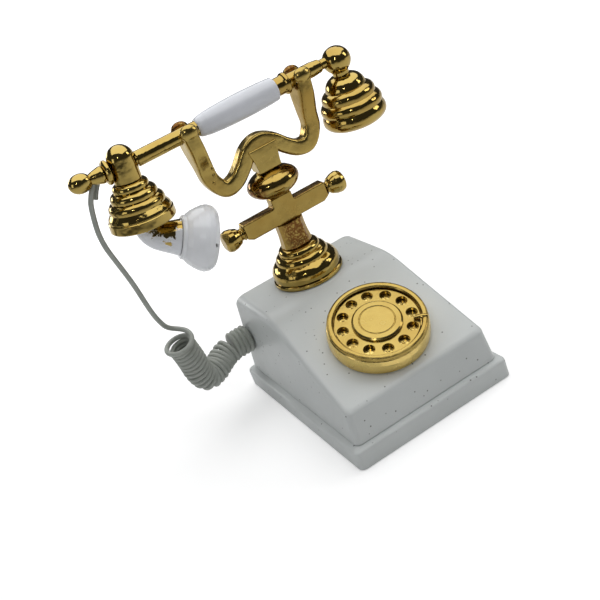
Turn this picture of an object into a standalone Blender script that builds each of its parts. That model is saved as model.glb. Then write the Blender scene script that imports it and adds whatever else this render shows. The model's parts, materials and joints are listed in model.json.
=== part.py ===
"""Rotary telephone on a pedestal: wedge-shaped base, gilt dial, cross column, cradle, handset and curly cord.

Lengths are in millimetres and are turned into metres by the helpers. X runs to the caller's right, Y to the
back, Z up. The origin is the middle of the base pad's underside.
"""
import math

import bmesh
import bpy
from mathutils import Matrix, Vector

MM = 0.001
GAP = 0.3                       # air between neighbouring pieces

PLINTH_W, PLINTH_D = 172.0, 236.0
PLINTH_TOP = 21.0
BODY_HALF_W, BODY_HALF_D = 79.6, 112.0
BODY_BOTTOM = PLINTH_TOP + 2 * GAP
BODY_TOP = 108.0
WALL = 3.0
WALL_DRAFT = 0.085              # wall lean, as a slope
DIAL_TILT = math.radians(22.9)
DIAL_Y, DIAL_Z = -56.3, 76.5    # middle of the dial on the sloping top
PEDESTAL_Y = 62.0
BAR_Z = 294.0                   # axis of the handset bar
BAR_R = 7.4
HOLE_COUNT = 12
HOLE_PITCH_R = 33.0
FIRST_HOLE = math.radians(10.9)
STOP_TURN = math.radians(-34.0)
HOLE_R = 5.6
GEAR_TEETH, PINION_TEETH = 30, 10
GEAR_MODULE = 1.4
CRADLE_SPAN = 61.5              # prong distance from the middle
TRANSMITTER_X, RECEIVER_X = -127.2, 106.0
TRANSMITTER_LEAN = math.radians(4.5)
HORN_TURN = math.radians(-12.0)
CORD_WIRE_R = 2.5
CORD_COIL_R = 13.0
GLAND_Y, GLAND_Z = 91.0, 65.0

WHITE = ("white_enamel", (0.80, 0.81, 0.80), 0.30, 0.0)
GILT = ("gilt_metal", (0.83, 0.62, 0.22), 0.22, 1.0)
PORCELAIN = ("porcelain", (0.84, 0.86, 0.88), 0.15, 0.0)
STEEL = ("plated_steel", (0.62, 0.63, 0.64), 0.35, 1.0)
BRASS = ("brass", (0.70, 0.52, 0.22), 0.35, 1.0)
COPPER = ("copper_winding", (0.60, 0.25, 0.12), 0.45, 1.0)
BLACK = ("black_plastic", (0.03, 0.03, 0.03), 0.50, 0.0)
BOARD = ("circuit_board", (0.16, 0.10, 0.04), 0.60, 0.0)
PAD = ("rubber_pad", (0.06, 0.06, 0.06), 0.85, 0.0)
CORD = ("cord_sheath", (0.52, 0.53, 0.50), 0.55, 0.0)


def clear_scene():
    for obj in list(bpy.data.objects):
        bpy.data.objects.remove(obj, do_unlink=True)


def collection(name):
    made = bpy.data.collections.new(name)
    bpy.context.scene.collection.children.link(made)
    return made


def material(finish, node):
    name, colour, roughness, metallic = finish
    made = bpy.data.materials.new(f"{name}.{node}")
    made.use_nodes = True
    shader = made.node_tree.nodes["Principled BSDF"]
    shader.inputs["Base Color"].default_value = (*colour, 1.0)
    shader.inputs["Roughness"].default_value = roughness
    shader.inputs["Metallic"].default_value = metallic
    return made


def link(name, data, finish, at=(0, 0, 0), turn=(0, 0, 0), parent=None):
    obj = bpy.data.objects.new(name, data)
    PARTS.objects.link(obj)
    obj.location = Vector(at) * MM
    obj.rotation_euler = turn
    obj.parent = parent
    data.materials.append(material(finish, name))
    return obj


def empty(name, at, turn=(0, 0, 0), parent=None):
    obj = bpy.data.objects.new(name, None)
    PARTS.objects.link(obj)
    obj.location = Vector(at) * MM
    obj.rotation_euler = turn
    obj.parent = parent
    return obj


def mesh_from(bm, name):
    bmesh.ops.recalc_face_normals(bm, faces=bm.faces)
    data = bpy.data.meshes.new(name)
    bm.to_mesh(data)
    bm.free()
    data.shade_smooth()
    data.set_sharp_from_angle(angle=math.radians(40))
    return data


def box(name, low, high, finish, bevel=0.0, parent=None):
    bm = bmesh.new()
    low, high = Vector(low) * MM, Vector(high) * MM
    bmesh.ops.create_cube(bm, size=1.0)
    bmesh.ops.scale(bm, vec=high - low, verts=bm.verts)
    bmesh.ops.translate(bm, vec=(low + high) / 2, verts=bm.verts)
    obj = link(name, mesh_from(bm, name), finish, parent=parent)
    if bevel:
        soften(obj, bevel)
    return obj


def soften(obj, width, segments=2, angle=40):
    edge = obj.modifiers.new("Bevel", "BEVEL")
    edge.width = width * MM
    edge.segments = segments
    edge.limit_method = "ANGLE"
    edge.angle_limit = math.radians(angle)
    return edge


def turned(name, profile, finish, steps=20, at=(0, 0, 0), turn=(0, 0, 0), parent=None):
    """Solid of revolution about local Z; the profile of (radius, height) runs down its outer side."""
    closed = profile[0][0] > 0
    data = bpy.data.meshes.new(name)
    points = [(r * MM, 0.0, z * MM) for r, z in profile]
    edges = [(i, i + 1) for i in range(len(points) - 1)]
    if closed:
        edges.append((len(points) - 1, 0))
    data.from_pydata(points, edges, [])
    obj = link(name, data, finish, at, turn, parent)
    spin = obj.modifiers.new("Screw", "SCREW")
    spin.axis = "Z"
    spin.steps = steps
    spin.render_steps = steps
    spin.use_merge_vertices = True
    spin.merge_threshold = 0.00001
    spin.use_smooth_shade = True
    return obj


def arc(centre_r, centre_z, radius, start, end, count, flat=1.0):
    """Points on an arc from start to end degrees; 0 points outward, 90 up."""
    made = []
    for i in range(count + 1):
        angle = math.radians(start + (end - start) * i / count)
        made.append((centre_r + radius * math.cos(angle), centre_z + flat * radius * math.sin(angle)))
    return made


def bead(top, bottom, bulge, count=2):
    """Points of a rounded ring between two (radius, height) ends, without its last point."""
    (r0, z0), (r1, z1) = top, bottom
    length = math.hypot(r1 - r0, z1 - z0)
    out_r, out_z = (z0 - z1) / length, (r1 - r0) / length
    made = []
    for i in range(count):
        t = i / count
        swell = bulge * math.sin(math.pi * t)
        made.append((r0 + (r1 - r0) * t + out_r * swell, z0 + (z1 - z0) * t + out_z * swell))
    return made


def beads(ends, bulges, count=2):
    made = []
    for top, bottom, bulge in zip(ends, ends[1:], bulges):
        made += bead(top, bottom, bulge, count)
    return made + [ends[-1]]


def loft(name, rings, finish, at=(0, 0, 0), turn=(0, 0, 0), parent=None, pipe=False):
    """Skin over rings of equal point count, capped at both ends; a pipe's last ring joins its first."""
    bm = bmesh.new()
    rows = [[bm.verts.new(Vector(point) * MM) for point in ring] for ring in rings]
    count = len(rows[0])
    pairs = list(zip(rows, rows[1:]))
    if pipe:
        pairs.append((rows[-1], rows[0]))
    for near, far in pairs:
        for i in range(count):
            j = (i + 1) % count
            bm.faces.new((near[i], near[j], far[j], far[i]))
    if not pipe:
        bm.faces.new(rows[0])
        bm.faces.new(list(reversed(rows[-1])))
    return link(name, mesh_from(bm, name), finish, at, turn, parent)


def cutter(obj):
    """Turns a piece into a hidden cutting tool."""
    PARTS.objects.unlink(obj)
    CUTTERS.objects.link(obj)
    obj.hide_render = True
    obj.display_type = "WIRE"
    return obj


def carve(obj, tool, operation="DIFFERENCE"):
    cut = obj.modifiers.new("Boolean", "BOOLEAN")
    cut.operation = operation
    cut.object = cutter(tool)
    return obj


def rod_tool(name, radius, low, high, at, turn=(0, 0, 0), parent=None, steps=24):
    return turned(name, [(0, high), (radius, high), (radius, low), (0, low)], STEEL, steps, at, turn, parent)


def tube_along(name, points, radius, finish, sides=3, parent=None):
    """Round bar through points: a curve with a bevel and filled caps."""
    data = bpy.data.curves.new(name, "CURVE")
    data.dimensions = "3D"
    data.bevel_depth = radius * MM
    data.bevel_resolution = sides
    data.use_fill_caps = True
    run = data.splines.new("POLY")
    run.points.add(len(points) - 1)
    for place, point in zip(run.points, points):
        place.co = (*(Vector(point) * MM), 1.0)
    return link(name, data, finish, parent=parent)


def smooth_route(knots, count):
    """Points evenly spread along a Catmull-Rom curve through the knots."""
    knots = [Vector(k) for k in knots]
    ends = [2 * knots[0] - knots[1]] + knots + [2 * knots[-1] - knots[-2]]
    dense = []
    for a, b, c, d in zip(ends, ends[1:], ends[2:], ends[3:]):
        for i in range(24):
            t = i / 24
            dense.append(0.5 * (2 * b + (c - a) * t + (2 * a - 5 * b + 4 * c - d) * t * t
                                + (3 * b - a - 3 * c + d) * t ** 3))
    dense.append(knots[-1])
    lengths = [0.0]
    for a, b in zip(dense, dense[1:]):
        lengths.append(lengths[-1] + (b - a).length)
    made = []
    k = 0
    for i in range(count):
        want = lengths[-1] * i / (count - 1)
        while k < len(dense) - 2 and lengths[k + 1] < want:
            k += 1
        t = (want - lengths[k]) / (lengths[k + 1] - lengths[k])
        made.append(dense[k].lerp(dense[k + 1], min(max(t, 0.0), 1.0)))
    return made


def rounded_ring(half_w, half_d, radius, z, corner_steps=3):
    """Rounded rectangle at one height."""
    made = []
    for turn, sx, sy in ((0, 1, 1), (90, -1, 1), (180, -1, -1), (270, 1, -1)):
        for i in range(corner_steps + 1):
            angle = math.radians(turn + 90 * i / corner_steps)
            made.append((sx * (half_w - radius) + radius * math.cos(angle),
                         sy * (half_d - radius) + radius * math.sin(angle), z))
    return made


# ---------------------------------------------------------------- base

def make_plinth():
    half_w, half_d = PLINTH_W / 2, PLINTH_D / 2
    sections = ((0.0, 0.6), (0.0, 17.4), (0.5, 18.6), (1.6, 19.3), (6.6, PLINTH_TOP))
    rings = [rounded_ring(half_w - inset, half_d - inset, 6.0, z) for inset, z in sections]
    plinth = loft("plinth", rings, WHITE)
    carve(plinth, box("plinth_recess", (-76, -108, 0), (76, 108, 4.6), STEEL))
    carve(plinth, box("plinth_well", (-66, -98, 4), (66, 98, 30), STEEL))
    return plinth


def body_top_height(y):
    """Flat back, then a straight slope down to the front, blended by a soft minimum."""
    slope = DIAL_Z + math.tan(DIAL_TILT) * (y - DIAL_Y)
    blend = 6.0
    share = min(max(0.5 + 0.5 * (slope - BODY_TOP) / blend, 0.0), 1.0)
    return slope + (BODY_TOP - slope) * share - blend * share * (1 - share)


def body_edge_radius(y):
    """The top edge is crisp at the front and soft at the back."""
    share = min(max((y + 110.0) / 215.0, 0.0), 1.0)
    return 4.5 + 2.5 * share + 2.0 * share ** 6


def body_inset(z):
    return WALL_DRAFT * (z - BODY_BOTTOM)


def body_point(slot, inset, corner=6.0):
    """Point on the body's outline: slot is (side, share) where corners are quarter circles."""
    side, share = slot
    half_w, half_d = BODY_HALF_W - inset - corner, BODY_HALF_D - inset - corner
    straight, turn = divmod(side, 2)
    angle = math.radians(90 * straight + (90 * share if turn else 0))
    signs = ((1, 1), (-1, 1), (-1, -1), (1, -1))
    if turn:
        sx, sy = signs[straight]
        return (sx * half_w + corner * math.cos(angle), sy * half_d + corner * math.sin(angle))
    (ax, ay), (bx, by) = signs[straight - 1], signs[straight]
    x = half_w * (ax + (bx - ax) * share) + corner * math.cos(angle)
    y = half_d * (ay + (by - ay) * share) + corner * math.sin(angle)
    return (x, y)


def body_slots(long_steps, short_steps, corner_steps):
    made = []
    for side in range(8):
        steps = corner_steps if side % 2 else (long_steps if side % 4 == 0 else short_steps)
        made += [(side, i / steps) for i in range(steps)]
    return made


def body_rings(slots, wall_steps=2, edge_steps=3, cap_steps=3):
    rings = []
    for k in range(wall_steps + 1):
        ring = []
        for slot in slots:
            outer_y = body_point(slot, body_inset(90.0))[1]
            brim = body_top_height(outer_y) - body_edge_radius(outer_y)
            z = BODY_BOTTOM + (brim - BODY_BOTTOM) * k / wall_steps
            ring.append((*body_point(slot, body_inset(z)), z))
        rings.append(ring)
    for k in range(1, edge_steps + 1):
        angle = math.radians(90 * k / edge_steps)
        ring = []
        for slot in slots:
            outer_y = body_point(slot, body_inset(90.0))[1]
            radius = body_edge_radius(outer_y)
            brim = body_top_height(outer_y) - radius
            x, y = body_point(slot, body_inset(brim) + radius * (1 - math.cos(angle)))
            ring.append((x, y, brim + (body_top_height(y) - brim) * math.sin(angle)))
        rings.append(ring)
    edge = rings[-1]
    for k in range(1, cap_steps + 1):
        size = 1 - k / (cap_steps + 0.4)
        ring = [(x * size, y * size) for x, y, _ in edge]
        rings.append([(x, y, body_top_height(y)) for x, y in ring])
    return rings


def make_body():
    rings = body_rings(body_slots(7, 2, 3))
    bm = bmesh.new()
    rows = [[bm.verts.new(Vector(point) * MM) for point in ring] for ring in rings]
    count = len(rows[0])
    for near, far in zip(rows, rows[1:]):
        for i in range(count):
            j = (i + 1) % count
            bm.faces.new((near[i], near[j], far[j], far[i]))
    middle = bm.verts.new((0.0, 0.0, body_top_height(0.0) * MM))
    for i in range(count):
        bm.faces.new((rows[-1][i], rows[-1][(i + 1) % count], middle))
    body = link("body_shell", mesh_from(bm, "body_shell"), WHITE)
    skin = body.modifiers.new("Solidify", "SOLIDIFY")
    skin.thickness = WALL * MM
    skin.offset = -1.0
    carve(body, rod_tool("gland_hole", 6.3, -20, 20, (-76, GLAND_Y, GLAND_Z), (0, math.pi / 2, 0)))
    carve(body, box("jack_hole", (-9.3, 100, 29.7), (9.3, 120, 46.3), STEEL))
    carve(body, rod_tool("pedestal_hole", 9.0, -20, 20, (0, PEDESTAL_Y, BODY_TOP), (0, 0, 0.1)))
    dial_hole = rod_tool("dial_hole", 37.0, -30, 30, (0, DIAL_Y, DIAL_Z), (DIAL_TILT, 0, 0), steps=28)
    carve(body, dial_hole)
    return body


def make_underside():
    plate = box("bottom_plate", (-75.6, -107.6, 2.7), (75.6, 107.6, 4.3), STEEL)
    pad = box("base_pad", (-73, -105, 0), (73, 105, 2.4), PAD, 1.0)
    corners = [(sx * 71.0, sy * 103.0) for sx in (-1, 1) for sy in (-1, 1)]
    for number, (x, y) in enumerate(corners, 1):
        shaft = [(0, 12.0), (1.5, 12.0), (1.5, 2.4), (3.2, 2.4), (3.2, 0.9), (0, 0.9)]
        turned(f"plate_screw_{number}", shaft, STEEL, 8, (x, y, 0))
        carve(plate, rod_tool(f"plate_hole_{number}", 1.9, 0, 8, (x, y, 0), steps=8))
        carve(pad, rod_tool(f"pad_hole_{number}", 4.2, -2, 6, (x, y, 0), steps=10))
        carve(bpy.data.objects["plinth"], rod_tool(f"screw_hole_{number}", 1.9, 3, 12.4, (x, y, 0), steps=8))


def make_openings():
    """Line jack in the back wall and the cord's gland in the left wall."""
    jack = box("line_jack", (-9.0, 94.0, 30.0), (9.0, 112.0, 46.0), BLACK)
    carve(jack, box("jack_flange", (-12.0, 111.8, 27.0), (12.0, 114.2, 49.0), BLACK), "UNION")
    carve(jack, box("jack_socket", (-5.8, 100.0, 33.0), (5.8, 116.0, 42.0), BLACK))
    profile = [(3.1, 9.0), (6.0, 9.0), (6.0, 0.0), (9.5, 0.0), (9.5, -1.6), (8.6, -2.4), (3.1, -2.4)]
    turned("cord_gland", profile, CORD, 16, (-77.3, GLAND_Y, GLAND_Z), (0, math.pi / 2, 0))


# ---------------------------------------------------------------- dial

def make_dial_case(dial):
    profile = [(40.9, 19.5), (41.9, 20.5), (44.9, 20.5), (46.4, 19.7), (46.9, 18.2), (46.2, 17.0),
               (47.3, 15.6), (48.2, 11.0), (48.3, 5.0), (47.9, 0.5), (37.0, 0.5), (37.0, 9.7), (40.9, 9.7)]
    case = turned("dial_housing", profile, GILT, 36, parent=dial)
    number_profile = [(4.0, 11.6), (40.5, 11.6), (40.5, 10.0), (4.0, 10.0)]
    turned("number_plate", number_profile, GILT, 32, parent=dial)
    stop = box("finger_stop", (33.5, -1.9, 17.2), (45.5, 1.9, 19.0), GILT, 0.6, parent=dial)
    stop.rotation_euler = (0, 0, STOP_TURN)
    slot = box("stop_slot", (40.0, -2.3, 16.9), (45.9, 2.3, 22.0), STEEL, parent=dial)
    slot.rotation_euler = (0, 0, STOP_TURN)
    carve(case, slot)
    frame_profile = [(3.4, 0.2), (36.6, 0.2), (36.6, -1.8), (3.4, -1.8)]
    turned("dial_frame", frame_profile, STEEL, 20, parent=dial)


def make_finger_wheel(dial):
    wheel = turned("finger_wheel", [(3.3, 16.6), (40.2, 16.6), (40.2, 12.8), (3.3, 12.8)], GILT, 36,
                   parent=dial)
    holes = bmesh.new()
    for i in range(HOLE_COUNT):
        angle = FIRST_HOLE + 2 * math.pi * i / HOLE_COUNT
        place = Vector((HOLE_PITCH_R * math.cos(angle), HOLE_PITCH_R * math.sin(angle), 14.7)) * MM
        bmesh.ops.create_cone(holes, cap_ends=True, segments=10, radius1=HOLE_R * MM, radius2=HOLE_R * MM,
                              depth=8 * MM, matrix=Matrix.Translation(place))
    tool = link("finger_holes", mesh_from(holes, "finger_holes"), STEEL, parent=dial)
    carve(wheel, tool)
    hub = [(0, 19.8), (15.8, 19.8), (16.2, 19.4), (17.0, 19.4), (17.4, 19.8), (22.9, 19.8), (23.8, 19.0),
           (23.8, 16.9), (0, 16.9)]
    turned("dial_hub", hub, GILT, 28, parent=dial)
    shaft = [(0, 16.6), (3.0, 16.6), (3.0, -22.0), (0, -22.0)]
    turned("dial_shaft", shaft, STEEL, 16, parent=dial)


def gear_outline(teeth, module, thin=0.32, addendum=0.75, dedendum=1.1):
    pitch_r = module * teeth / 2
    step = 2 * math.pi / teeth
    made = []
    for tooth in range(teeth):
        middle = tooth * step
        for share, height in ((-thin, -dedendum), (-thin * 0.45, addendum), (thin * 0.45, addendum),
                              (thin, -dedendum)):
            radius = pitch_r + height * module
            angle = middle + share * step
            made.append((radius * math.cos(angle), radius * math.sin(angle)))
    return made


def gear(name, teeth, bore, low, high, phase, finish, at, parent):
    outline = gear_outline(teeth, GEAR_MODULE)
    turn = Matrix.Rotation(phase, 2)
    outline = [turn @ Vector(point) for point in outline]
    rings = [[(x, y, z) for x, y in outline] for z in (high, low)]
    wheel = loft(name, rings, finish, at, parent=parent)
    carve(wheel, rod_tool(f"{name}_bore", bore, low - 2, high + 2, at, parent=parent, steps=16))
    return wheel


def make_dial_works(dial):
    gear("dial_gear", GEAR_TEETH, 3.3, -9.0, -6.6, 0.0, BRASS, (0, 0, 0), dial)
    distance = GEAR_MODULE * (GEAR_TEETH + PINION_TEETH) / 2
    half_tooth = math.pi / PINION_TEETH
    gear("governor_pinion", PINION_TEETH, 1.8, -9.4, -6.2, half_tooth, BRASS, (0, distance, 0), dial)
    spindle = [(0, -3.0), (1.5, -3.0), (1.5, -12.0), (7.0, -12.0), (7.0, -16.5), (1.5, -16.5), (1.5, -21.0),
               (0, -21.0)]
    turned("governor_drum", spindle, STEEL, 20, (0, distance, 0), parent=dial)
    spring = [(3.6, -10.6), (13.0, -10.6), (13.0, -15.6), (3.6, -15.6)]
    turned("dial_spring", spring, STEEL, 24, parent=dial)
    box("pulse_contacts", (-16.0, -31.0, -20.0), (-7.0, -25.0, -2.4), BLACK, parent=dial)


# ---------------------------------------------------------------- pedestal

def make_flange():
    ends = [(17.5, 144.0), (19.5, 137.0), (24.0, 130.0), (29.5, 122.0), (33.8, 112.4)]
    profile = [(6.4, 144.0)] + beads(ends, (1.2, 1.5, 1.8, 2.4))
    profile += [(36.0, 111.6), (36.2, 110.0), (35.6, BODY_TOP + GAP), (28.0, BODY_TOP + GAP), (24.0, 116.0),
                (6.4, 128.0)]
    turned("pedestal_flange", profile, GILT, 24, (0, PEDESTAL_Y, 0))


def column_ring(half_w, half_d, facet, z):
    """Rectangle with wide chamfers."""
    return [(half_w, -half_d + facet, z), (half_w, half_d - facet, z), (half_w - facet, half_d, z),
            (-half_w + facet, half_d, z), (-half_w, half_d - facet, z), (-half_w, -half_d + facet, z),
            (-half_w + facet, -half_d, z), (half_w - facet, -half_d, z)]


def make_column():
    rings = [column_ring(14.2, 11.0, 6.0, 171.0), column_ring(15.6, 12.5, 7.0, 144.3)]
    column = loft("pedestal_column", rings, GILT, (0, PEDESTAL_Y, 0))
    carve(column, rod_tool("column_bore", 5.0, 140, 176, (0, PEDESTAL_Y, 0), steps=20))


def make_cross():
    front, back = PEDESTAL_Y - 6.5, PEDESTAL_Y + 6.5
    cross = box("cross_block", (-47.5, front, 171.3), (47.5, back, 190.0), GILT)
    carve(cross, box("cross_neck", (-11.6, front, 172.0), (11.6, back, 199.3), GILT), "UNION")
    carve(cross, rod_tool("cross_bore", 4.8, 165, 206, (0, PEDESTAL_Y, 0), steps=20))
    soften(cross, 1.4)
    for side, name in ((-1, "knob_left"), (1, "knob_right")):
        profile = [(0, 22.4), (8.6, 22.4), (10.4, 21.2), (11.0, 19.2), (9.4, 13.0), (7.2, 5.4), (5.4, 3.6),
                   (5.4, 1.8), (7.4, 0.6), (0, 0.6)]
        knob = turned(name, profile, GILT, 18, (side * 47.4, PEDESTAL_Y, 180.6), (0, side * math.pi / 2, 0))
        low, high = sorted((side * 44.0, side * 80.0))
        carve(knob, box(f"{name}_flat", (low, 40.0, 160.0), (high, front + 1.0, 200.0), STEEL))


def make_bulb():
    outline = arc(0, 0, 27.0, 72, -72, 8, 0.54)
    profile = [(4.6, outline[0][1])] + outline + [(4.6, outline[-1][1])]
    bulb = turned("bulb_collar", profile, GILT, 24, (0, PEDESTAL_Y, 213.5))
    bulb.scale = (1.0, 0.86, 1.0)
    nut = [(5.2, 103.4), (11.5, 103.4), (11.5, 97.0), (5.2, 97.0)]
    turned("pedestal_nut", nut, STEEL, 6, (0, PEDESTAL_Y, 0))


# ---------------------------------------------------------------- cradle and hook switch

def cradle_route():
    top = [(CRADLE_SPAN + 1.0, 302.5), (CRADLE_SPAN - 0.5, 285.0)]
    left = top + [(59.2, 262.0), (57.2, 244.0), (47.8, 230.4), (36.0, 231.6), (25.0, 240.0), (13.0, 252.4)]
    right = top + [(58.6, 262.0), (57.0, 245.5), (48.2, 232.8), (36.2, 232.8), (25.0, 240.4), (13.0, 251.8)]
    knots = [(-x, 0, z) for x, z in left] + [(0, 0, 256.8)] + [(x, 0, z) for x, z in reversed(right)]
    return smooth_route(knots, 33)


def cradle_rings():
    route = cradle_route()
    rings = []
    for i, point in enumerate(route):
        ahead = route[min(i + 1, len(route) - 1)] - route[max(i - 1, 0)]
        side = Vector((ahead.z, 0, -ahead.x)).normalized()
        rise = min(max((point.z - 250.0) / 32.0, 0.0), 1.0)
        outer = abs(point.x) > 50
        depth = 8.0 + (7.2 * rise * rise * (3 - 2 * rise) if outer else 0.0)
        ring = []
        for u, v in ((1, 0.7), (0.7, 1), (-0.7, 1), (-1, 0.7), (-1, -0.7), (-0.7, -1), (0.7, -1), (1, -0.7)):
            ring.append(point + side * 8.0 * u + Vector((0, depth * v, 0)))
        rings.append(ring)
    return rings


def make_cradle():
    fork = loft("cradle_fork", cradle_rings(), GILT, (0, PEDESTAL_Y, 0))
    block = [[(-11.0, -6.6, 227.8), (11.0, -6.6, 227.8), (11.0, 6.6, 227.8), (-11.0, 6.6, 227.8)],
             [(-14.6, -6.6, 248.0), (14.6, -6.6, 248.0), (14.6, 6.6, 248.0), (-14.6, 6.6, 248.0)]]
    carve(fork, loft("fork_block", block, GILT, (0, PEDESTAL_Y, 0)), "UNION")
    carve(fork, rod_tool("fork_socket", 3.9, 220.0, 240.3, (0, PEDESTAL_Y, 0), steps=16))
    saddle = rod_tool("fork_saddle", BAR_R + 0.4, -90, 90, (0, PEDESTAL_Y, BAR_Z), (0, math.pi / 2, 0), steps=24)
    carve(fork, saddle)
    opening = BAR_R + 0.4
    carve(fork, box("saddle_mouth", (-90, PEDESTAL_Y - opening, BAR_Z), (90, PEDESTAL_Y + opening, 330), STEEL))
    turned("hook_rod", [(0, 240.0), (3.5, 240.0), (3.5, 50.0), (0, 50.0)], STEEL, 16, (0, PEDESTAL_Y, 0))
    turned("rod_spring", [(3.9, 96.0), (5.6, 96.0), (5.6, 66.0), (3.9, 66.0)], STEEL, 16, (0, PEDESTAL_Y, 0))


def make_hook_switch():
    lever = box("hook_lever", (-4.0, 30.0, 46.2), (4.0, 66.0, 49.2), BRASS)
    carve(lever, rod_tool("lever_boss", 3.4, -4.0, 4.0, (0, 34.0, 46.0), (0, math.pi / 2, 0), steps=16), "UNION")
    carve(lever, rod_tool("lever_eye", 1.9, -6, 6, (0, 34.0, 46.0), (0, math.pi / 2, 0), steps=16))
    bracket = box("lever_bracket", (-7.0, 28.0, 4.6), (7.0, 40.0, 52.0), STEEL)
    carve(bracket, box("bracket_gap", (-4.6, 20.0, 30.0), (4.6, 48.0, 60.0), STEEL))
    pin = rod_tool("bracket_pin", 1.5, -5.0, 5.0, (0, 34.0, 46.0), (0, math.pi / 2, 0), steps=12)
    carve(bracket, pin, "UNION")
    box("hook_contacts", (-6.0, 14.0, 34.0), (6.0, 26.0, 52.0), BLACK)


# ---------------------------------------------------------------- ringer and circuit

def make_ringer():
    base = box("ringer_base", (-60, -62, 4.7), (60, 26, 6.7), STEEL)
    for side, name in ((-1, "gong_left"), (1, "gong_right")):
        dome = [(0, 36.0), (14.0, 35.0), (20.0, 31.5), (22.5, 26.0), (22.5, 20.0), (21.0, 20.0), (21.0, 25.5),
                (18.8, 30.2), (13.5, 33.4), (4.0, 34.2), (4.0, 7.1), (0, 7.1)]
        turned(name, dome, BRASS, 16, (side * 30.0, -36.0, 0))
    rings = [[(-2.0, -38.0, z), (2.0, -38.0, z), (2.0, -1.0, z), (-2.0, -1.0, z)] for z in (22.0, 24.0)]
    clapper = loft("clapper", rings, STEEL)
    carve(clapper, rod_tool("clapper_head", 4.2, 18.5, 27.5, (0, -38.0, 0), steps=16), "UNION")
    carve(clapper, rod_tool("clapper_eye", 1.9, 15, 30, (0, -4.0, 0), steps=12))
    carve(base, rod_tool("clapper_pivot", 1.5, 6.0, 27.0, (0, -4.0, 0), steps=12), "UNION")
    profile = [(0, 22.0), (10.0, 22.0), (10.0, 20.0), (8.0, 20.0), (8.0, -20.0), (10.0, -20.0), (10.0, -22.0),
               (0, -22.0)]
    turned("ringer_coil", profile, COPPER, 20, (0, 1.0 + 14.0, 17.2), (0, math.pi / 2, 0))


def make_circuit():
    box("network_board", (18.0, 42.0, 4.7), (62.0, 96.0, 6.7), BOARD)
    turned("induction_coil", [(0, 13.0), (9.0, 13.0), (9.0, -13.0), (0, -13.0)], COPPER, 20,
           (32.0, 66.0, 16.2), (math.pi / 2, 0, 0))


# ---------------------------------------------------------------- handset

ALONG_X = (0, math.pi / 2, 0)
DOWN = Vector((0, 0, -1))


def make_bar(frame):
    neck = 5.0
    profile = [(0, 100.0), (neck, 100.0), (neck, 88.0), (6.4, 86.5), (BAR_R, 78.0), (BAR_R, -113.7),
               (neck, -113.7), (neck, -133.6), (0, -133.6)]
    turned("handset_bar", profile, GILT, 20, (0, 0, 0), ALONG_X, frame)
    bore = BAR_R + GAP
    grip = [(bore, 35.6), (10.4, 35.6), (11.4, 34.8), (12.3, 22.0), (12.7, 4.0), (12.6, -12.0), (12.0, -28.0),
            (11.0, -40.0), (9.6, -47.4), (8.6, -49.4), (bore, -50.2)]
    turned("grip", grip, PORCELAIN, 20, (0, 0, 0), ALONG_X, frame)
    collar = [(bore, 49.6), (9.6, 49.6), (10.6, 48.6), (10.6, 45.8), (9.4, 44.6), (8.9, 43.0), (8.9, 36.0),
              (bore, 36.0)]
    turned("grip_collar", collar, GILT, 16, (0, 0, 0), ALONG_X, frame)


def make_end_fittings(frame):
    """Ring and ball on the far side of the transmitter's post, in the post's leaning frame."""
    ring = [(5.3, -13.5), (10.0, -13.5), (11.6, -14.6), (11.6, -17.2), (10.0, -18.6), (7.0, -19.4),
            (5.3, -19.4)]
    turned("finial_ring", ring, GILT, 16, (0, 0, 0), ALONG_X, frame)
    blob = arc(0, -42.8, 9.2, 62, -90, 7, 1.08)
    finial = [(0, -13.8), (5.0, -13.8), (5.0, -19.8), (7.8, -19.8), (7.0, -22.6), (4.4, -30.6)] + blob
    turned("finial", finial, GILT, 16, (0, 0, 0), ALONG_X, frame)


def make_transmitter(frame):
    lean = empty("transmitter_frame", (TRANSMITTER_X, 0, 0), (0, TRANSMITTER_LEAN, 0), frame)
    yoke = arc(0, 7.2, 13.0, 90, 0, 5) + [(13.0, -14.0), (0, -14.0)]
    tube = turned("transmitter_yoke", yoke, GILT, 20, parent=lean)
    bar_way = rod_tool("yoke_bore", 5.4, -6.4, 60, (TRANSMITTER_X, 0, 0), ALONG_X, frame, 20)
    carve(tube, bar_way)
    make_end_fittings(lean)
    ends = [(12.0, -14.4), (17.8, -25.0), (23.6, -34.0), (28.9, -43.5), (31.1, -48.0)]
    outer = beads(ends, (1.8, 1.8, 1.8, 0.6))
    inner = [(29.8, -55.6), (29.8, -51.0), (27.0, -46.0), (16.0, -27.0), (0, -27.0)]
    shell = [(0, -14.4)] + outer + [(31.7, -50.0), (31.7, -54.6), (30.9, -55.6)] + inner
    turned("transmitter_shell", shell, GILT, 22, parent=lean)
    capsule = [(0, -34.0), (18.0, -34.0), (21.0, -44.0), (21.0, -48.4), (0, -48.4)]
    turned("transmitter_capsule", capsule, BLACK, 16, parent=lean)
    plate = [(9.0, -51.4), (29.4, -51.4), (29.4, -54.6), (9.0, -54.6)]
    turned("transmitter_plate", plate, GILT, 22, parent=lean)
    turned_horn = empty("horn_frame", (0, 0, 0), (0, 0, HORN_TURN), lean)
    make_horn(turned_horn)


def horn_route():
    """Middle line of the horn, in the transmitter's frame, with its outer radius."""
    knots = [(0.0, 0, -55.2), (0.2, 0, -59.0), (1.6, 0, -65.0), (5.6, 0, -71.0), (12.0, 0, -75.3),
             (25.9, 0, -81.4)]
    return smooth_route(knots, 8)


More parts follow.
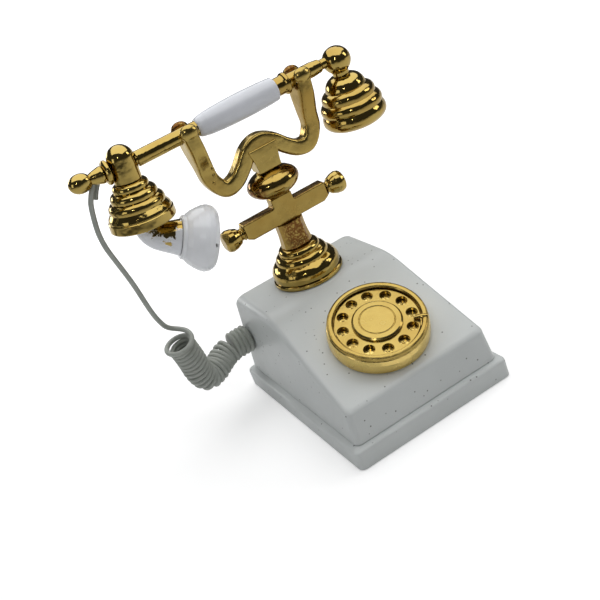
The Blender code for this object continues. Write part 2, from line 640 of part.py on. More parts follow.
def make_horn(frame):
    route = horn_route()
    outer, inner = [], []
    for i, point in enumerate(route):
        ahead = (route[min(i + 1, len(route) - 1)] - route[max(i - 1, 0)]).normalized() if i else DOWN
        side = Vector((0, 1, 0))
        up = ahead.cross(side)
        share = i / (len(route) - 1)
        radius = 11.0 + 6.5 * share ** 1.6
        for ring, size in ((outer, radius), (inner, radius - 2.0)):
            ring.append([point + size * (math.cos(a) * side + math.sin(a) * up)
                         for a in (2 * math.pi * k / 14 for k in range(14))])
    loft("mouth_horn", outer + inner[::-1], GILT, parent=frame, pipe=True)
    start, before = route[-1], route[-2]
    ahead = (start - before).normalized()
    pitch = math.atan2(ahead.x, ahead.z)
    trumpet = [(26.2, 32.6), (28.6, 33.6), (30.4, 32.4), (30.7, 30.2), (29.8, 26.0), (26.8, 16.6), (24.0, 8.0),
               (21.8, 2.4), (20.0, 0.6), (9.0, 0.6), (9.0, 3.0), (18.4, 3.6), (24.4, 17.0)]
    turned("mouthpiece", trumpet, PORCELAIN, 24, start, (0, pitch, 0), frame)


def make_receiver(frame):
    hold = empty("receiver_frame", (RECEIVER_X, 0, 0), (0, 0, 0), frame)
    neck_r = 8.2
    ball = arc(0, -2.4, 14.2, 90, -52, 7, 0.96) + [(neck_r, -14.4), (neck_r, -17.0), (0, -17.0)]
    knob = turned("receiver_ball", ball, GILT, 20, parent=hold)
    carve(knob, rod_tool("ball_socket", 5.4, -30.0, -5.0, (RECEIVER_X, 0, 0), ALONG_X, frame, 20))
    ends = [(8.6, -17.3), (20.6, -30.5), (27.0, -41.0), (30.6, -52.0)]
    outer = beads(ends, (2.6, 2.2, 1.9))
    inner = [(28.4, -52.0), (25.0, -41.0), (18.0, -31.0), (0, -28.0)]
    turned("receiver_shell", [(0, -17.3)] + outer + inner, GILT, 24, parent=hold)
    turned("receiver_capsule", [(0, -34.0), (16.0, -34.0), (24.0, -46.0), (24.0, -51.6), (0, -51.6)], BLACK, 16,
           parent=hold)
    rim = bead((30.6, -52.3), (25.0, -68.0), 4.6, 4)
    cap = [(3.0, -58.0), (20.0, -58.0), (20.0, -52.3)] + rim + [(25.0, -68.0), (24.0, -68.4), (3.0, -66.0)]
    turned("receiver_cap", cap, GILT, 24, parent=hold)


# ---------------------------------------------------------------- cord

def make_cord():
    wire = [(-160.0, 62, 289.8), (-164.6, 62, 283.4), (-168.6, 62, 275.6), (-172.0, 62, 261), (-173.9, 62.1, 247),
            (-173.1, 62.5, 231), (-169.4, 63.2, 211.4), (-165.6, 64.4, 190.8), (-163.2, 66.3, 173),
            (-161.0, 69.6, 157), (-158.2, 73.6, 143.2), (-154.8, 76.2, 132.4), (-151.4, 76.8, 124.0),
            (-148.9, 76.4, 117.6)]
    tube_along("cord_wire", smooth_route(wire, 30), CORD_WIRE_R, CORD, 2)
    tube_along("cord_tail", [(-154.4, 66, 288.6), (-158.2, 66.6, 283), (-161.6, 66.8, 276.6)], 2.2, CORD, 2)
    coil = [(-80.1, 91, 65), (-86, 91, 65), (-97, 88.6, 64.2), (-110, 84.8, 61.4), (-125.5, 80.4, 56.8),
            (-137.0, 76.2, 58.4), (-143.0, 72.6, 71), (-145.2, 70, 87), (-148.0, 67.8, 102), (-151.0, 66.2, 113.6)]
    tube_along("cord_coil", smooth_route(coil, 18), CORD_COIL_R, CORD, 3)


clear_scene()
PARTS = collection("rotary_telephone")
CUTTERS = collection("cutters")

make_plinth()
make_body()
make_underside()
make_openings()
dial_axis = empty("dial_axis", (0, DIAL_Y, DIAL_Z), (DIAL_TILT, 0, 0))
make_dial_case(dial_axis)
make_finger_wheel(dial_axis)
make_dial_works(dial_axis)
make_flange()
make_column()
make_cross()
make_bulb()
make_cradle()
make_hook_switch()
make_ringer()
make_circuit()
handset_frame = empty("handset_frame", (0, PEDESTAL_Y, BAR_Z))
make_bar(handset_frame)
make_transmitter(handset_frame)
make_receiver(handset_frame)
make_cord()
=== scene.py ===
"""Visual model of a rotary telephone on a pedestal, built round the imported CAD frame.

Lengths are in millimetres until a mesh is made. X runs to the caller's right, Y to the back, Z up.
"""
import json
import math

import bmesh
import bpy
from mathutils import Matrix, Vector


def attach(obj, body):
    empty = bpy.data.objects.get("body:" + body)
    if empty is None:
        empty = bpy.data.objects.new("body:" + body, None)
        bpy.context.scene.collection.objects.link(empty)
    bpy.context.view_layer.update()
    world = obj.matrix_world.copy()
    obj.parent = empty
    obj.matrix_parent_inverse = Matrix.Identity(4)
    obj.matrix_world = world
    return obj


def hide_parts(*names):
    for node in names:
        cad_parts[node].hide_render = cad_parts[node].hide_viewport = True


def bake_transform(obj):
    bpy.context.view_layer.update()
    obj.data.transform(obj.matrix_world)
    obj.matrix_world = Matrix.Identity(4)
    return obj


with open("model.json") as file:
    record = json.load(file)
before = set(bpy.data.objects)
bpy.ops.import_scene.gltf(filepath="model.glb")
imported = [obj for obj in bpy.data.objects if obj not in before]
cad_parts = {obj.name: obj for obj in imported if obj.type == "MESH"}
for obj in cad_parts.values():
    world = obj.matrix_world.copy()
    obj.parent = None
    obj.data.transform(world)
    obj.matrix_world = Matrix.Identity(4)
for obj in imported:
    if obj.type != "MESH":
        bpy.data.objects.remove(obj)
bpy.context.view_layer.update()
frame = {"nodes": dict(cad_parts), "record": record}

MM = 0.001

# Sizes shared with the CAD source.
PLINTH_HALF_W, PLINTH_HALF_D = 86.0, 118.0
BODY_HALF_W, BODY_HALF_D = 79.6, 112.0
BODY_BOTTOM, BODY_TOP = 21.6, 108.0
WALL_DRAFT = 0.085
DIAL_TILT = math.radians(22.9)
DIAL_Y, DIAL_Z = -56.3, 76.5
PEDESTAL_Y = 62.0
BAR_Z, BAR_R = 294.0, 7.4
HOLE_COUNT, HOLE_PITCH_R, HOLE_R = 12, 33.0, 5.6
FIRST_HOLE = math.radians(10.9)
STOP_TURN = math.radians(-34.0)
CRADLE_SPAN = 61.5
TRANSMITTER_X, RECEIVER_X = -127.2, 106.0
TRANSMITTER_LEAN = math.radians(4.5)
HORN_TURN = math.radians(-12.0)
CORD_WIRE_R = 2.5
GLAND = (-77.3, 91.0, 65.0)

ALONG_X = Matrix.Rotation(math.pi / 2, 4, "Y")
DIAL = Matrix.Translation((0, DIAL_Y, DIAL_Z)) @ Matrix.Rotation(DIAL_TILT, 4, "X")
HANDSET = Matrix.Translation((0, PEDESTAL_Y, BAR_Z))
LEAN = HANDSET @ Matrix.Translation((TRANSMITTER_X, 0, 0)) @ Matrix.Rotation(TRANSMITTER_LEAN, 4, "Y")
HORN = LEAN @ Matrix.Rotation(HORN_TURN, 4, "Z")
RECEIVER = HANDSET @ Matrix.Translation((RECEIVER_X, 0, 0))


# ---------------------------------------------------------------- material builder

class Finish:
    """A material under construction: a Principled shader and short calls that add nodes to it."""

    def __init__(self, name, roughness, metallic=0.0, coat=0.0):
        self.material = bpy.data.materials.new(name)
        self.material.use_nodes = True
        self.tree = self.material.node_tree
        self.shader = self.tree.nodes["Principled BSDF"]
        self.shader.inputs["Roughness"].default_value = roughness
        self.shader.inputs["Metallic"].default_value = metallic
        self.shader.inputs["Coat Weight"].default_value = coat
        self.place = self.tree.nodes.new("ShaderNodeTexCoord").outputs["Object"]

    def noise(self, scale, detail):
        node = self.tree.nodes.new("ShaderNodeTexNoise")
        node.inputs["Scale"].default_value = scale
        node.inputs["Detail"].default_value = detail
        self.tree.links.new(self.place, node.inputs["Vector"])
        return node.outputs["Fac"]

    def cells(self, scale):
        node = self.tree.nodes.new("ShaderNodeTexVoronoi")
        node.inputs["Scale"].default_value = scale
        self.tree.links.new(self.place, node.inputs["Vector"])
        return node.outputs["Distance"], node.outputs["Color"]

    def attribute(self, name):
        node = self.tree.nodes.new("ShaderNodeAttribute")
        node.attribute_name = name
        return node.outputs["Fac"]

    def span(self, value, low, high, to_low=0.0, to_high=1.0):
        node = self.tree.nodes.new("ShaderNodeMapRange")
        node.inputs["From Min"].default_value = low
        node.inputs["From Max"].default_value = high
        node.inputs["To Min"].default_value = to_low
        node.inputs["To Max"].default_value = to_high
        self.tree.links.new(value, node.inputs["Value"])
        return node.outputs["Result"]

    def times(self, a, b):
        node = self.tree.nodes.new("ShaderNodeMath")
        node.operation = "MULTIPLY"
        self.tree.links.new(a, node.inputs[0])
        self.tree.links.new(b, node.inputs[1])
        return node.outputs["Value"]

    def blend(self, factor, a, b):
        node = self.tree.nodes.new("ShaderNodeMix")
        node.data_type = "RGBA"
        self.tree.links.new(factor, node.inputs["Factor"])
        for colour, socket in ((a, node.inputs["A"]), (b, node.inputs["B"])):
            self.set_colour(socket, colour)
        return node.outputs["Result"]

    def set_colour(self, socket, colour):
        if isinstance(colour, tuple):
            socket.default_value = (*colour, 1.0)
        else:
            self.tree.links.new(colour, socket)

    def colour(self, value):
        self.set_colour(self.shader.inputs["Base Color"], value)

    def link(self, value, socket):
        self.tree.links.new(value, self.shader.inputs[socket])

    def bump(self, height, distance, strength=1.0):
        node = self.tree.nodes.new("ShaderNodeBump")
        node.inputs["Strength"].default_value = strength
        node.inputs["Distance"].default_value = distance
        self.tree.links.new(height, node.inputs["Height"])
        if self.shader.inputs["Normal"].is_linked:
            self.tree.links.new(self.shader.inputs["Normal"].links[0].from_socket, node.inputs["Normal"])
        self.tree.links.new(node.outputs["Normal"], self.shader.inputs["Normal"])


# ---------------------------------------------------------------- camera and light

CAMERA_AT = (-0.3109, -0.8141, 0.5408)
CAMERA_AZIMUTH, CAMERA_ELEVATION, CAMERA_ROLL = (math.radians(v) for v in (-18.38, 26.19, -22.09))
CAMERA_LENS = 60.68


def make_camera():
    data = bpy.data.cameras.new("camera")
    data.lens = CAMERA_LENS
    data.sensor_width = 36.0
    data.clip_start = 0.01
    data.clip_end = 100.0
    camera = bpy.data.objects.new("camera", data)
    bpy.context.scene.collection.objects.link(camera)
    turn = (Matrix.Rotation(CAMERA_AZIMUTH, 4, "Z")
            @ Matrix.Rotation(math.pi / 2 - CAMERA_ELEVATION, 4, "X")
            @ Matrix.Rotation(CAMERA_ROLL, 4, "Z"))
    camera.matrix_world = Matrix.Translation(CAMERA_AT) @ turn
    bpy.context.scene.camera = camera


def softbox(name, at, aim, width, height, power, colour=(1.0, 1.0, 1.0)):
    data = bpy.data.lights.new(name, "AREA")
    data.shape = "RECTANGLE"
    data.size, data.size_y = width, height
    data.energy = power
    data.color = colour
    lamp = bpy.data.objects.new(name, data)
    bpy.context.scene.collection.objects.link(lamp)
    lamp.location = at
    lamp.rotation_euler = (Vector(aim) - Vector(at)).to_track_quat("-Z", "Y").to_euler()


def make_world():
    """Bright to the camera, nearly dark to everything else, so that the gilt mirrors only the lamps."""
    world = bpy.data.worlds.new("studio")
    bpy.context.scene.world = world
    world.use_nodes = True
    sky = world.node_tree.nodes["Background"]
    sky.inputs["Color"].default_value = (0.92, 0.95, 1.0, 1.0)
    direct = world.node_tree.nodes.new("ShaderNodeLightPath").outputs["Is Camera Ray"]
    glow = world.node_tree.nodes.new("ShaderNodeMapRange")
    glow.inputs["To Min"].default_value = 0.05
    glow.inputs["To Max"].default_value = 0.95
    world.node_tree.links.new(direct, glow.inputs["Value"])
    world.node_tree.links.new(glow.outputs["Result"], sky.inputs["Strength"])


def make_lamps():
    middle = (0.0, 0.0, 0.12)
    softbox("light_top", (0.34, 0.26, 1.25), (0.20, 0.10, 0.0), 2.1, 2.0, 21.5)
    softbox("light_left", (-1.50, -0.30, 0.60), middle, 0.50, 0.70, 1.4, (0.97, 0.98, 1.0))
    softbox("light_right", (1.40, -0.55, 0.75), middle, 0.40, 0.60, 2.6, (1.0, 0.98, 0.95))
    softbox("light_glint", (-0.95, -1.30, 1.20), middle, 0.16, 0.16, 2.4)
    softbox("light_back", (-0.60, 1.40, 0.55), middle, 0.60, 0.30, 2.4)


def make_floor():
    """White floor that glows more towards the back and, to the camera only, away from the object."""
    bm = bmesh.new()
    bmesh.ops.create_grid(bm, x_segments=2, y_segments=2, size=30.0)
    data = bpy.data.meshes.new("floor")
    bm.to_mesh(data)
    bm.free()
    floor = bpy.data.objects.new("floor", data)
    bpy.context.scene.collection.objects.link(floor)
    floor.location = (0, 0, -0.0002)
    paint = Finish("floor", 0.9)
    paint.shader.inputs["Base Color"].default_value = (0.92, 0.92, 0.92, 1.0)
    paint.shader.inputs["Emission Color"].default_value = (1.0, 1.0, 1.0, 1.0)
    axes = paint.tree.nodes.new("ShaderNodeSeparateXYZ")
    paint.tree.links.new(paint.place, axes.inputs["Vector"])
    seen = paint.tree.nodes.new("ShaderNodeLightPath").outputs["Is Camera Ray"]
    to_back = paint.span(axes.outputs["Y"], 0.3, 2.2, 0.02, 0.6)
    away = paint.tree.nodes.new("ShaderNodeVectorMath")
    away.operation = "LENGTH"
    paint.tree.links.new(paint.place, away.inputs[0])
    outward = paint.span(away.outputs["Value"], 0.7, 3.0, 0.34, 1.0)
    glow = paint.tree.nodes.new("ShaderNodeMath")
    paint.tree.links.new(to_back, glow.inputs[0])
    paint.tree.links.new(paint.times(seen, outward), glow.inputs[1])
    paint.link(glow.outputs["Value"], "Emission Strength")
    data.materials.append(paint.material)


make_camera()
make_world()
make_lamps()
make_floor()
bpy.context.scene.view_settings.view_transform = "Standard"


# ---------------------------------------------------------------- materials

GOLD, GOLD_DEEP, TARNISH = (0.46, 0.335, 0.098), (0.38, 0.25, 0.062), (0.16, 0.07, 0.02)
# Lighter gold for painted light: a painted highlight on the dial rim's outer wall and a painted lift of the
# shade on the number disc.
GOLD_PAINTED_LIGHT = (0.94, 0.70, 0.24)
ENAMEL, ENAMEL_SHADE, SPECK = (0.68, 0.71, 0.70), (0.62, 0.65, 0.64), (0.09, 0.09, 0.08)


def gold_finish(name, rough_low, rough_high, wave):
    """Gold plating on a casting: slightly wavy, with clouded polish and warmer patches.

    The attribute "tarnish" browns it; a second attribute mixes in lighter gold, which is painted light.
    """
    made = Finish(name, rough_low, metallic=1.0)
    gilt_colour = made.blend(made.span(made.noise(26.0, 4.0), 0.40, 0.72), GOLD, GOLD_DEEP)
    stained = made.times(made.attribute("tarnish"), made.span(made.noise(520.0, 5.0), 0.32, 0.52))
    # Painted light: lighter gold is mixed in wherever the lightening attribute is set.
    gilt_colour = made.blend(made.attribute("painted_light"), gilt_colour, GOLD_PAINTED_LIGHT)
    made.colour(made.blend(stained, gilt_colour, TARNISH))
    made.link(made.span(made.noise(60.0, 5.0), 0.35, 0.75, rough_low, rough_high), "Roughness")
    made.bump(made.noise(85.0, 2.0), wave)
    made.bump(made.noise(900.0, 3.0), 0.00002, 0.6)
    return made.material


def enamel_finish():
    """White enamel with an uneven surface and a few small black specks."""
    made = Finish("white_enamel", 0.34)
    tone = made.blend(made.span(made.noise(9.0, 3.0), 0.35, 0.70), ENAMEL, ENAMEL_SHADE)
    near, lot = made.cells(190.0)
    dots = made.times(made.span(near, 0.08, 0.18, 1.0, 0.0), made.span(lot, 0.66, 0.70))
    tone = made.blend(dots, tone, SPECK)
    made.colour(tone)
    made.link(made.span(made.noise(120.0, 4.0), 0.3, 0.7, 0.28, 0.40), "Roughness")
    made.bump(made.noise(260.0, 3.0), 0.00009, 0.5)
    made.bump(made.noise(28.0, 2.0), 0.0005, 0.35)
    return made.material


def porcelain_finish(name, light, dark):
    """Glazed white; the attribute "chip" shows the black ground under a missing flake."""
    made = Finish(name, 0.20, coat=0.25)
    made.shader.inputs["Coat Roughness"].default_value = 0.04
    tone = made.blend(made.span(made.noise(30.0, 3.0), 0.40, 0.75), light, dark)
    made.colour(made.blend(made.attribute("chip"), tone, (0.05, 0.05, 0.05)))
    made.bump(made.noise(70.0, 2.0), 0.0003, 0.4)
    return made.material


def horn_finish():
    """Gold above, white enamel that has run over the lower side; the border is ragged."""
    made = Finish("horn_two_tone", 0.14)
    gold = made.blend(made.span(made.noise(26.0, 4.0), 0.40, 0.72), GOLD, GOLD_DEEP)
    ragged = made.tree.nodes.new("ShaderNodeMath")
    ragged.operation = "ADD"
    made.tree.links.new(made.attribute("coat"), ragged.inputs[0])
    made.tree.links.new(made.span(made.noise(150.0, 4.0), 0.3, 0.7, -0.35, 0.35), ragged.inputs[1])
    white = made.span(ragged.outputs["Value"], 0.42, 0.50)
    # The white enamel is real two-tone paint, but its tone is lifted close to the cup's: painted light
    # against the shade under the handset.
    made.colour(made.blend(white, gold, (0.86, 0.88, 0.92)))
    made.link(made.span(white, 0.0, 1.0, 1.0, 0.0), "Metallic")
    made.link(made.span(white, 0.0, 1.0, 0.12, 0.20), "Roughness")
    made.bump(made.noise(85.0, 2.0), 0.0004, 0.6)
    return made.material


def cord_finish():
    made = Finish("cord_sheath", 0.48)
    mottle = made.span(made.noise(40.0, 3.0), 0.35, 0.70)
    made.colour(made.blend(mottle, (0.44, 0.46, 0.42), (0.36, 0.38, 0.34)))
    made.link(made.span(made.noise(200.0, 3.0), 0.3, 0.7, 0.40, 0.58), "Roughness")
    made.bump(made.noise(500.0, 4.0), 0.0001, 0.5)
    return made.material


def plain_finish(name, light, dark, roughness, metallic=0.0, grain=300.0):
    """Hidden and underside parts: two close tones with a fine surface."""
    made = Finish(name, roughness, metallic)
    made.colour(made.blend(made.span(made.noise(grain * 0.2, 4.0), 0.35, 0.70), light, dark))
    made.link(made.span(made.noise(grain, 4.0), 0.3, 0.7, roughness * 0.8, roughness * 1.25), "Roughness")
    made.bump(made.noise(grain, 4.0), 0.0001, 0.5)
    return made.material


def winding_finish():
    made = Finish("copper_winding", 0.40, metallic=0.6)
    wave = made.tree.nodes.new("ShaderNodeTexWave")
    wave.bands_direction = "X"
    wave.inputs["Scale"].default_value = 900.0
    wave.inputs["Distortion"].default_value = 0.6
    made.tree.links.new(made.place, wave.inputs["Vector"])
    made.colour(made.blend(wave.outputs["Fac"], (0.30, 0.11, 0.05), (0.62, 0.27, 0.12)))
    made.bump(wave.outputs["Fac"], 0.0003)
    return made.material


GILT = gold_finish("gilt_polished", 0.07, 0.15, 0.0009)
GILT_SATIN = gold_finish("gilt_satin", 0.20, 0.32, 0.0007)
WHITE = enamel_finish()
PORCELAIN = porcelain_finish("porcelain", (0.75, 0.77, 0.82), (0.70, 0.72, 0.76))
# The cup's porcelain is the grip's glaze made lighter: painted light that lifts the shade on the cup's
# underside.
CUP_PAINTED_LIGHT = porcelain_finish("porcelain_cup_painted_light", (0.92, 0.94, 0.97), (0.87, 0.89, 0.93))
HORN_COAT = horn_finish()
CORD = cord_finish()
STEEL = plain_finish("plated_steel", (0.60, 0.61, 0.62), (0.48, 0.49, 0.50), 0.30, 1.0, 500.0)
BRASS = plain_finish("turned_brass", (0.66, 0.48, 0.20), (0.54, 0.37, 0.14), 0.30, 1.0, 500.0)
BLACK = plain_finish("black_moulding", (0.035, 0.035, 0.035), (0.02, 0.02, 0.02), 0.45)
BOARD = plain_finish("board_laminate", (0.20, 0.12, 0.05), (0.13, 0.08, 0.03), 0.55)
RUBBER = plain_finish("rubber_pad", (0.055, 0.055, 0.055), (0.035, 0.035, 0.035), 0.80, 0.0, 700.0)
WINDING = winding_finish()

CAD_LOOKS = {"enamel": WHITE, "gilt": GILT, "porcelain": PORCELAIN, "steel": STEEL, "brass_parts": BRASS,
             "copper_winding": WINDING, "black_plastic": BLACK, "board": BOARD, "rubber_pad": RUBBER,
             "cord_sheath": CORD}
for entry in frame["record"]["subparts"]:
    node = frame["nodes"][entry["node"]]
    node.data.materials.clear()
    node.data.materials.append(CAD_LOOKS[entry["material_slot"]])


# ---------------------------------------------------------------- mesh helpers

def piece(name, bm, look, body, replaced=(), place=Matrix.Identity(4), sharp=35.0):
    """Turns a bmesh in millimetres into an object in metres that rides on a body.

    The cord, which joins two bodies, is given none here.
    """
    bmesh.ops.recalc_face_normals(bm, faces=bm.faces)
    bmesh.ops.triangulate(bm, faces=[face for face in bm.faces if len(face.verts) > 4])
    bm.transform(Matrix.Scale(MM, 4) @ place)
    data = bpy.data.meshes.new(name)
    bm.to_mesh(data)
    bm.free()
    data.shade_smooth()
    data.set_sharp_from_angle(angle=math.radians(sharp))
    data.materials.append(look)
    obj = bpy.data.objects.new(name, data)
    bpy.context.scene.collection.objects.link(obj)
    if body:
        flats = obj.modifiers.new("WeightedNormal", "WEIGHTED_NORMAL")
        flats.keep_sharp = True
        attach(obj, body)
    if replaced:
        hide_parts(*replaced)
    return obj


def mark(obj, name, amount):
    """Stores a number for each vertex, which the material reads."""
    store = obj.data.attributes.new(name, "FLOAT", "POINT")
    store.data.foreach_set("value", [amount(vert) for vert in obj.data.vertices])


def tarnish(obj, amount):
    """Stores how dull each vertex's plating is; amount takes the vertex and gives 0 to 1."""
    mark(obj, "tarnish", amount)


def ease(value, low, high):
    share = min(max((value - low) / (high - low), 0.0), 1.0)
    return share * share * (3 - 2 * share)


def fillet(points, radius, steps=4, closed=False):
    """Rounds the corners of a polyline; a corner's radius shrinks where its sides are short."""
    points = [Vector((p[0], p[1])) for p in points]
    count = len(points)
    made = []
    for i, corner in enumerate(points):
        if not closed and i in (0, count - 1):
            made.append(tuple(corner))
            continue
        before, after = points[i - 1], points[(i + 1) % count]
        to_before, to_after = before - corner, after - corner
        turn = math.pi - to_before.angle(to_after)
        if turn < math.radians(4.0):
            made.append(tuple(corner))
            continue
        reach = min(radius * math.tan(turn / 2), 0.46 * to_before.length, 0.46 * to_after.length)
        start = corner + to_before.normalized() * reach
        end = corner + to_after.normalized() * reach
        for k in range(steps + 1):
            t = k / steps
            made.append(tuple((1 - t) ** 2 * start + 2 * t * (1 - t) * corner + t * t * end))
    return made


def arc(centre_r, centre_z, radius, start, end, count, flat=1.0):
    """Points on an arc from start to end degrees; 0 points outward, 90 up."""
    made = []
    for i in range(count + 1):
        angle = math.radians(start + (end - start) * i / count)
        made.append((centre_r + radius * math.cos(angle), centre_z + flat * radius * math.sin(angle)))
    return made


def bead(top, bottom, bulge, count=12):
    """Points of a rounded ring between two (radius, height) ends, without its last point."""
    (r0, z0), (r1, z1) = top, bottom
    length = math.hypot(r1 - r0, z1 - z0)
    out_r, out_z = (z0 - z1) / length, (r1 - r0) / length
    made = []
    for i in range(count):
        t = i / count
        swell = bulge * math.sin(math.pi * t) ** 0.8
        made.append((r0 + (r1 - r0) * t + out_r * swell, z0 + (z1 - z0) * t + out_z * swell))
    return made


def beads(ends, bulges, count=12):
    made = []
    for top, bottom, bulge in zip(ends, ends[1:], bulges):
        made += bead(top, bottom, bulge, count)
    return made + [ends[-1]]


def turned(profile, steps=96):
    """Solid of revolution about Z. A (radius, height) profile that starts off the axis is a closed loop."""
    bm = bmesh.new()
    rows = []
    for r, z in profile:
        if r < 1e-6:
            rows.append([bm.verts.new((0, 0, z))])
            continue
        rows.append([bm.verts.new((r * math.cos(a), r * math.sin(a), z))
                     for a in (2 * math.pi * k / steps for k in range(steps))])
    pairs = list(zip(rows, rows[1:]))
    if len(rows[0]) > 1:
        pairs.append((rows[-1], rows[0]))
    for near, far in pairs:
        for k in range(steps):
            j = (k + 1) % steps
            quad = [near[k % len(near)], near[j % len(near)], far[j % len(far)], far[k % len(far)]]
            corners = list(dict.fromkeys(quad))
            if len(corners) > 2:
                bm.faces.new(corners)
    return bm


def skin(rings, pipe=False):
    """Faces between rings of equal point count; a pipe's last ring meets its first, the rest are capped."""
    bm = bmesh.new()
    rows = [[bm.verts.new(point) for point in ring] for ring in rings]
    count = len(rows[0])
    pairs = list(zip(rows, rows[1:]))
    if pipe:
        pairs.append((rows[-1], rows[0]))
    for near, far in pairs:
        for i in range(count):
            j = (i + 1) % count
            bm.faces.new((near[i], near[j], far[j], far[i]))
    if not pipe:
        bm.faces.new(rows[0])
        bm.faces.new(list(reversed(rows[-1])))
    return bm


def slab(low, high):
    bm = bmesh.new()
    bmesh.ops.create_cube(bm, size=1.0)
    low, high = Vector(low), Vector(high)
    bmesh.ops.scale(bm, vec=high - low, verts=bm.verts)
    bmesh.ops.translate(bm, vec=(low + high) / 2, verts=bm.verts)
    return bm


def rod(radius, low, high, at, place=Matrix.Identity(4), steps=48):
    bm = bmesh.new()
    middle = Matrix.Translation(at) @ place @ Matrix.Translation((0, 0, (low + high) / 2))
    bmesh.ops.create_cone(bm, cap_ends=True, segments=steps, radius1=radius, radius2=radius,
                          depth=high - low, matrix=middle)
    return bm


def scratch_object(bm):
    bmesh.ops.recalc_face_normals(bm, faces=bm.faces)
    data = bpy.data.meshes.new("scratch")
    bm.to_mesh(data)
    bm.free()
    obj = bpy.data.objects.new("scratch", data)
    bpy.context.scene.collection.objects.link(obj)
    return obj


def combine(bm, cuts=(), joins=(), bevel=0.0, segments=4, angle=35.0):
    """Booleans and an edge rounding on a bmesh in millimetres; returns a new bmesh."""
    base = scratch_object(bm)
    helpers = [base]
    for tools, operation in ((joins, "UNION"), (cuts, "DIFFERENCE")):
        for tool in tools:
            helper = scratch_object(tool)
            helpers.append(helper)
            step = base.modifiers.new("Boolean", "BOOLEAN")
            step.operation = operation
            step.solver = "EXACT"
            step.object = helper
    if bevel:
        edge = base.modifiers.new("Bevel", "BEVEL")
        edge.width = bevel
        edge.segments = segments
        edge.limit_method = "ANGLE"
        edge.angle_limit = math.radians(angle)
    graph = bpy.context.evaluated_depsgraph_get()
    result = bmesh.new()
    result.from_mesh(bpy.data.meshes.new_from_object(base.evaluated_get(graph)))
    for helper in helpers:
        bpy.data.objects.remove(helper, do_unlink=True)
    bmesh.ops.remove_doubles(result, verts=result.verts, dist=0.002)
    return result


def append_to(whole, bm):
    data = bpy.data.meshes.new("scratch")
    bm.to_mesh(data)
    bm.free()
    whole.from_mesh(data)


def distances(points):
    """How far along the polyline each of its points is."""
    made = [0.0]
    for a, b in zip(points, points[1:]):
        made.append(made[-1] + (b - a).length)
    return made


def spread(points, count):
    """Points at even steps along a polyline, from its first point to its last."""
    marks = distances(points)
    made, k = [], 0
    for i in range(count):
        want = marks[-1] * i / (count - 1)
        while k < len(points) - 2 and marks[k + 1] < want:
            k += 1
        share = (want - marks[k]) / max(marks[k + 1] - marks[k], 1e-9)
        made.append(points[k].lerp(points[k + 1], min(max(share, 0.0), 1.0)))
    return made


def smooth_route(knots, count):
    """Points evenly spread along a Catmull-Rom curve through the knots."""
    knots = [Vector(k) for k in knots]
    ends = [2 * knots[0] - knots[1]] + knots + [2 * knots[-1] - knots[-2]]
    dense = []
    for a, b, c, d in zip(ends, ends[1:], ends[2:], ends[3:]):
        for i in range(24):
            t = i / 24
            dense.append(0.5 * (2 * b + (c - a) * t + (2 * a - 5 * b + 4 * c - d) * t * t
                                + (3 * b - a - 3 * c + d) * t ** 3))
    dense.append(knots[-1])
    return spread(dense, count)


def frames_along(route):
    """Tangent, normal and binormal at each point, carried along without twist."""
    made = []
    normal = Vector((0, 0, 1))
    last = len(route) - 1
    for i in range(len(route)):
        tangent = (route[min(i + 1, last)] - route[max(i - 1, 0)]).normalized()
        normal = (normal - tangent * normal.dot(tangent)).normalized()
        made.append((tangent, normal, tangent.cross(normal)))
    return made


def tube(route, radius, sides=14):
    """Round bar of a fixed or varying radius along a route, with flat ends."""
    rings = []
    for i, (point, (_, normal, side)) in enumerate(zip(route, frames_along(route))):
        size = radius[i] if isinstance(radius, list) else radius
        rings.append([point + size * (math.cos(a) * normal + math.sin(a) * side)
                      for a in (2 * math.pi * k / sides for k in range(sides))])
    return skin(rings)


# ---------------------------------------------------------------- cord

COIL_TURNS = 19.4
COIL_CENTRE_R = 12.4
CORD_STEP = 1.7  # between the points of the finished path
CORD_STRAIGHT = 6.0  # before the loose first turn
LOOSE_LENGTH = 34.0
LOOSE_PITCH, CLOSE_PITCH = math.radians(90.0), math.radians(4.4)
RING_EXTRA_R = 3.0  # how much wider the open ring at the top is
RING_BACK = Vector((0.66, 0.75, 0.0))
RING_LIFTED = Vector((-0.88, 0.48, 0.0))
RING_TILT = 0.18


def bezier(a, b, c, d, count):
    made = []
    for i in range(count + 1):
        t = i / count
        made.append((1 - t) ** 3 * a + 3 * t * (1 - t) ** 2 * b + 3 * t * t * (1 - t) * c + t ** 3 * d)
    return made


def settled(path):
    """The same path at even steps, with any small corner eased; the two ends stay where they are."""
    even = spread(path, int(distances(path)[-1] / CORD_STEP) + 1)
    for _ in range(6):
        eased = [(a + 2 * b + c) / 4 for a, b, c in zip(even[1:], even[2:], even[3:])]
        even = even[:2] + eased + even[-1:]
    return even


def lead_in():
    """(Angle, distance along the axis) pairs of the loose first turn, from straight to close-wound."""
    count = 60
    step = LOOSE_LENGTH / count
    angle, along, made = 0.0, 0.0, []
    for i in range(count):
        share = i / (count - 1)
        pitch = CLOSE_PITCH + (LOOSE_PITCH - CLOSE_PITCH) * (1 - share) ** 2
        made.append((angle, along))
        angle += math.cos(pitch) * step / COIL_CENTRE_R
        along += math.sin(pitch) * step
    return [(a - made[-1][0], d - made[-1][1]) for a, d in made]


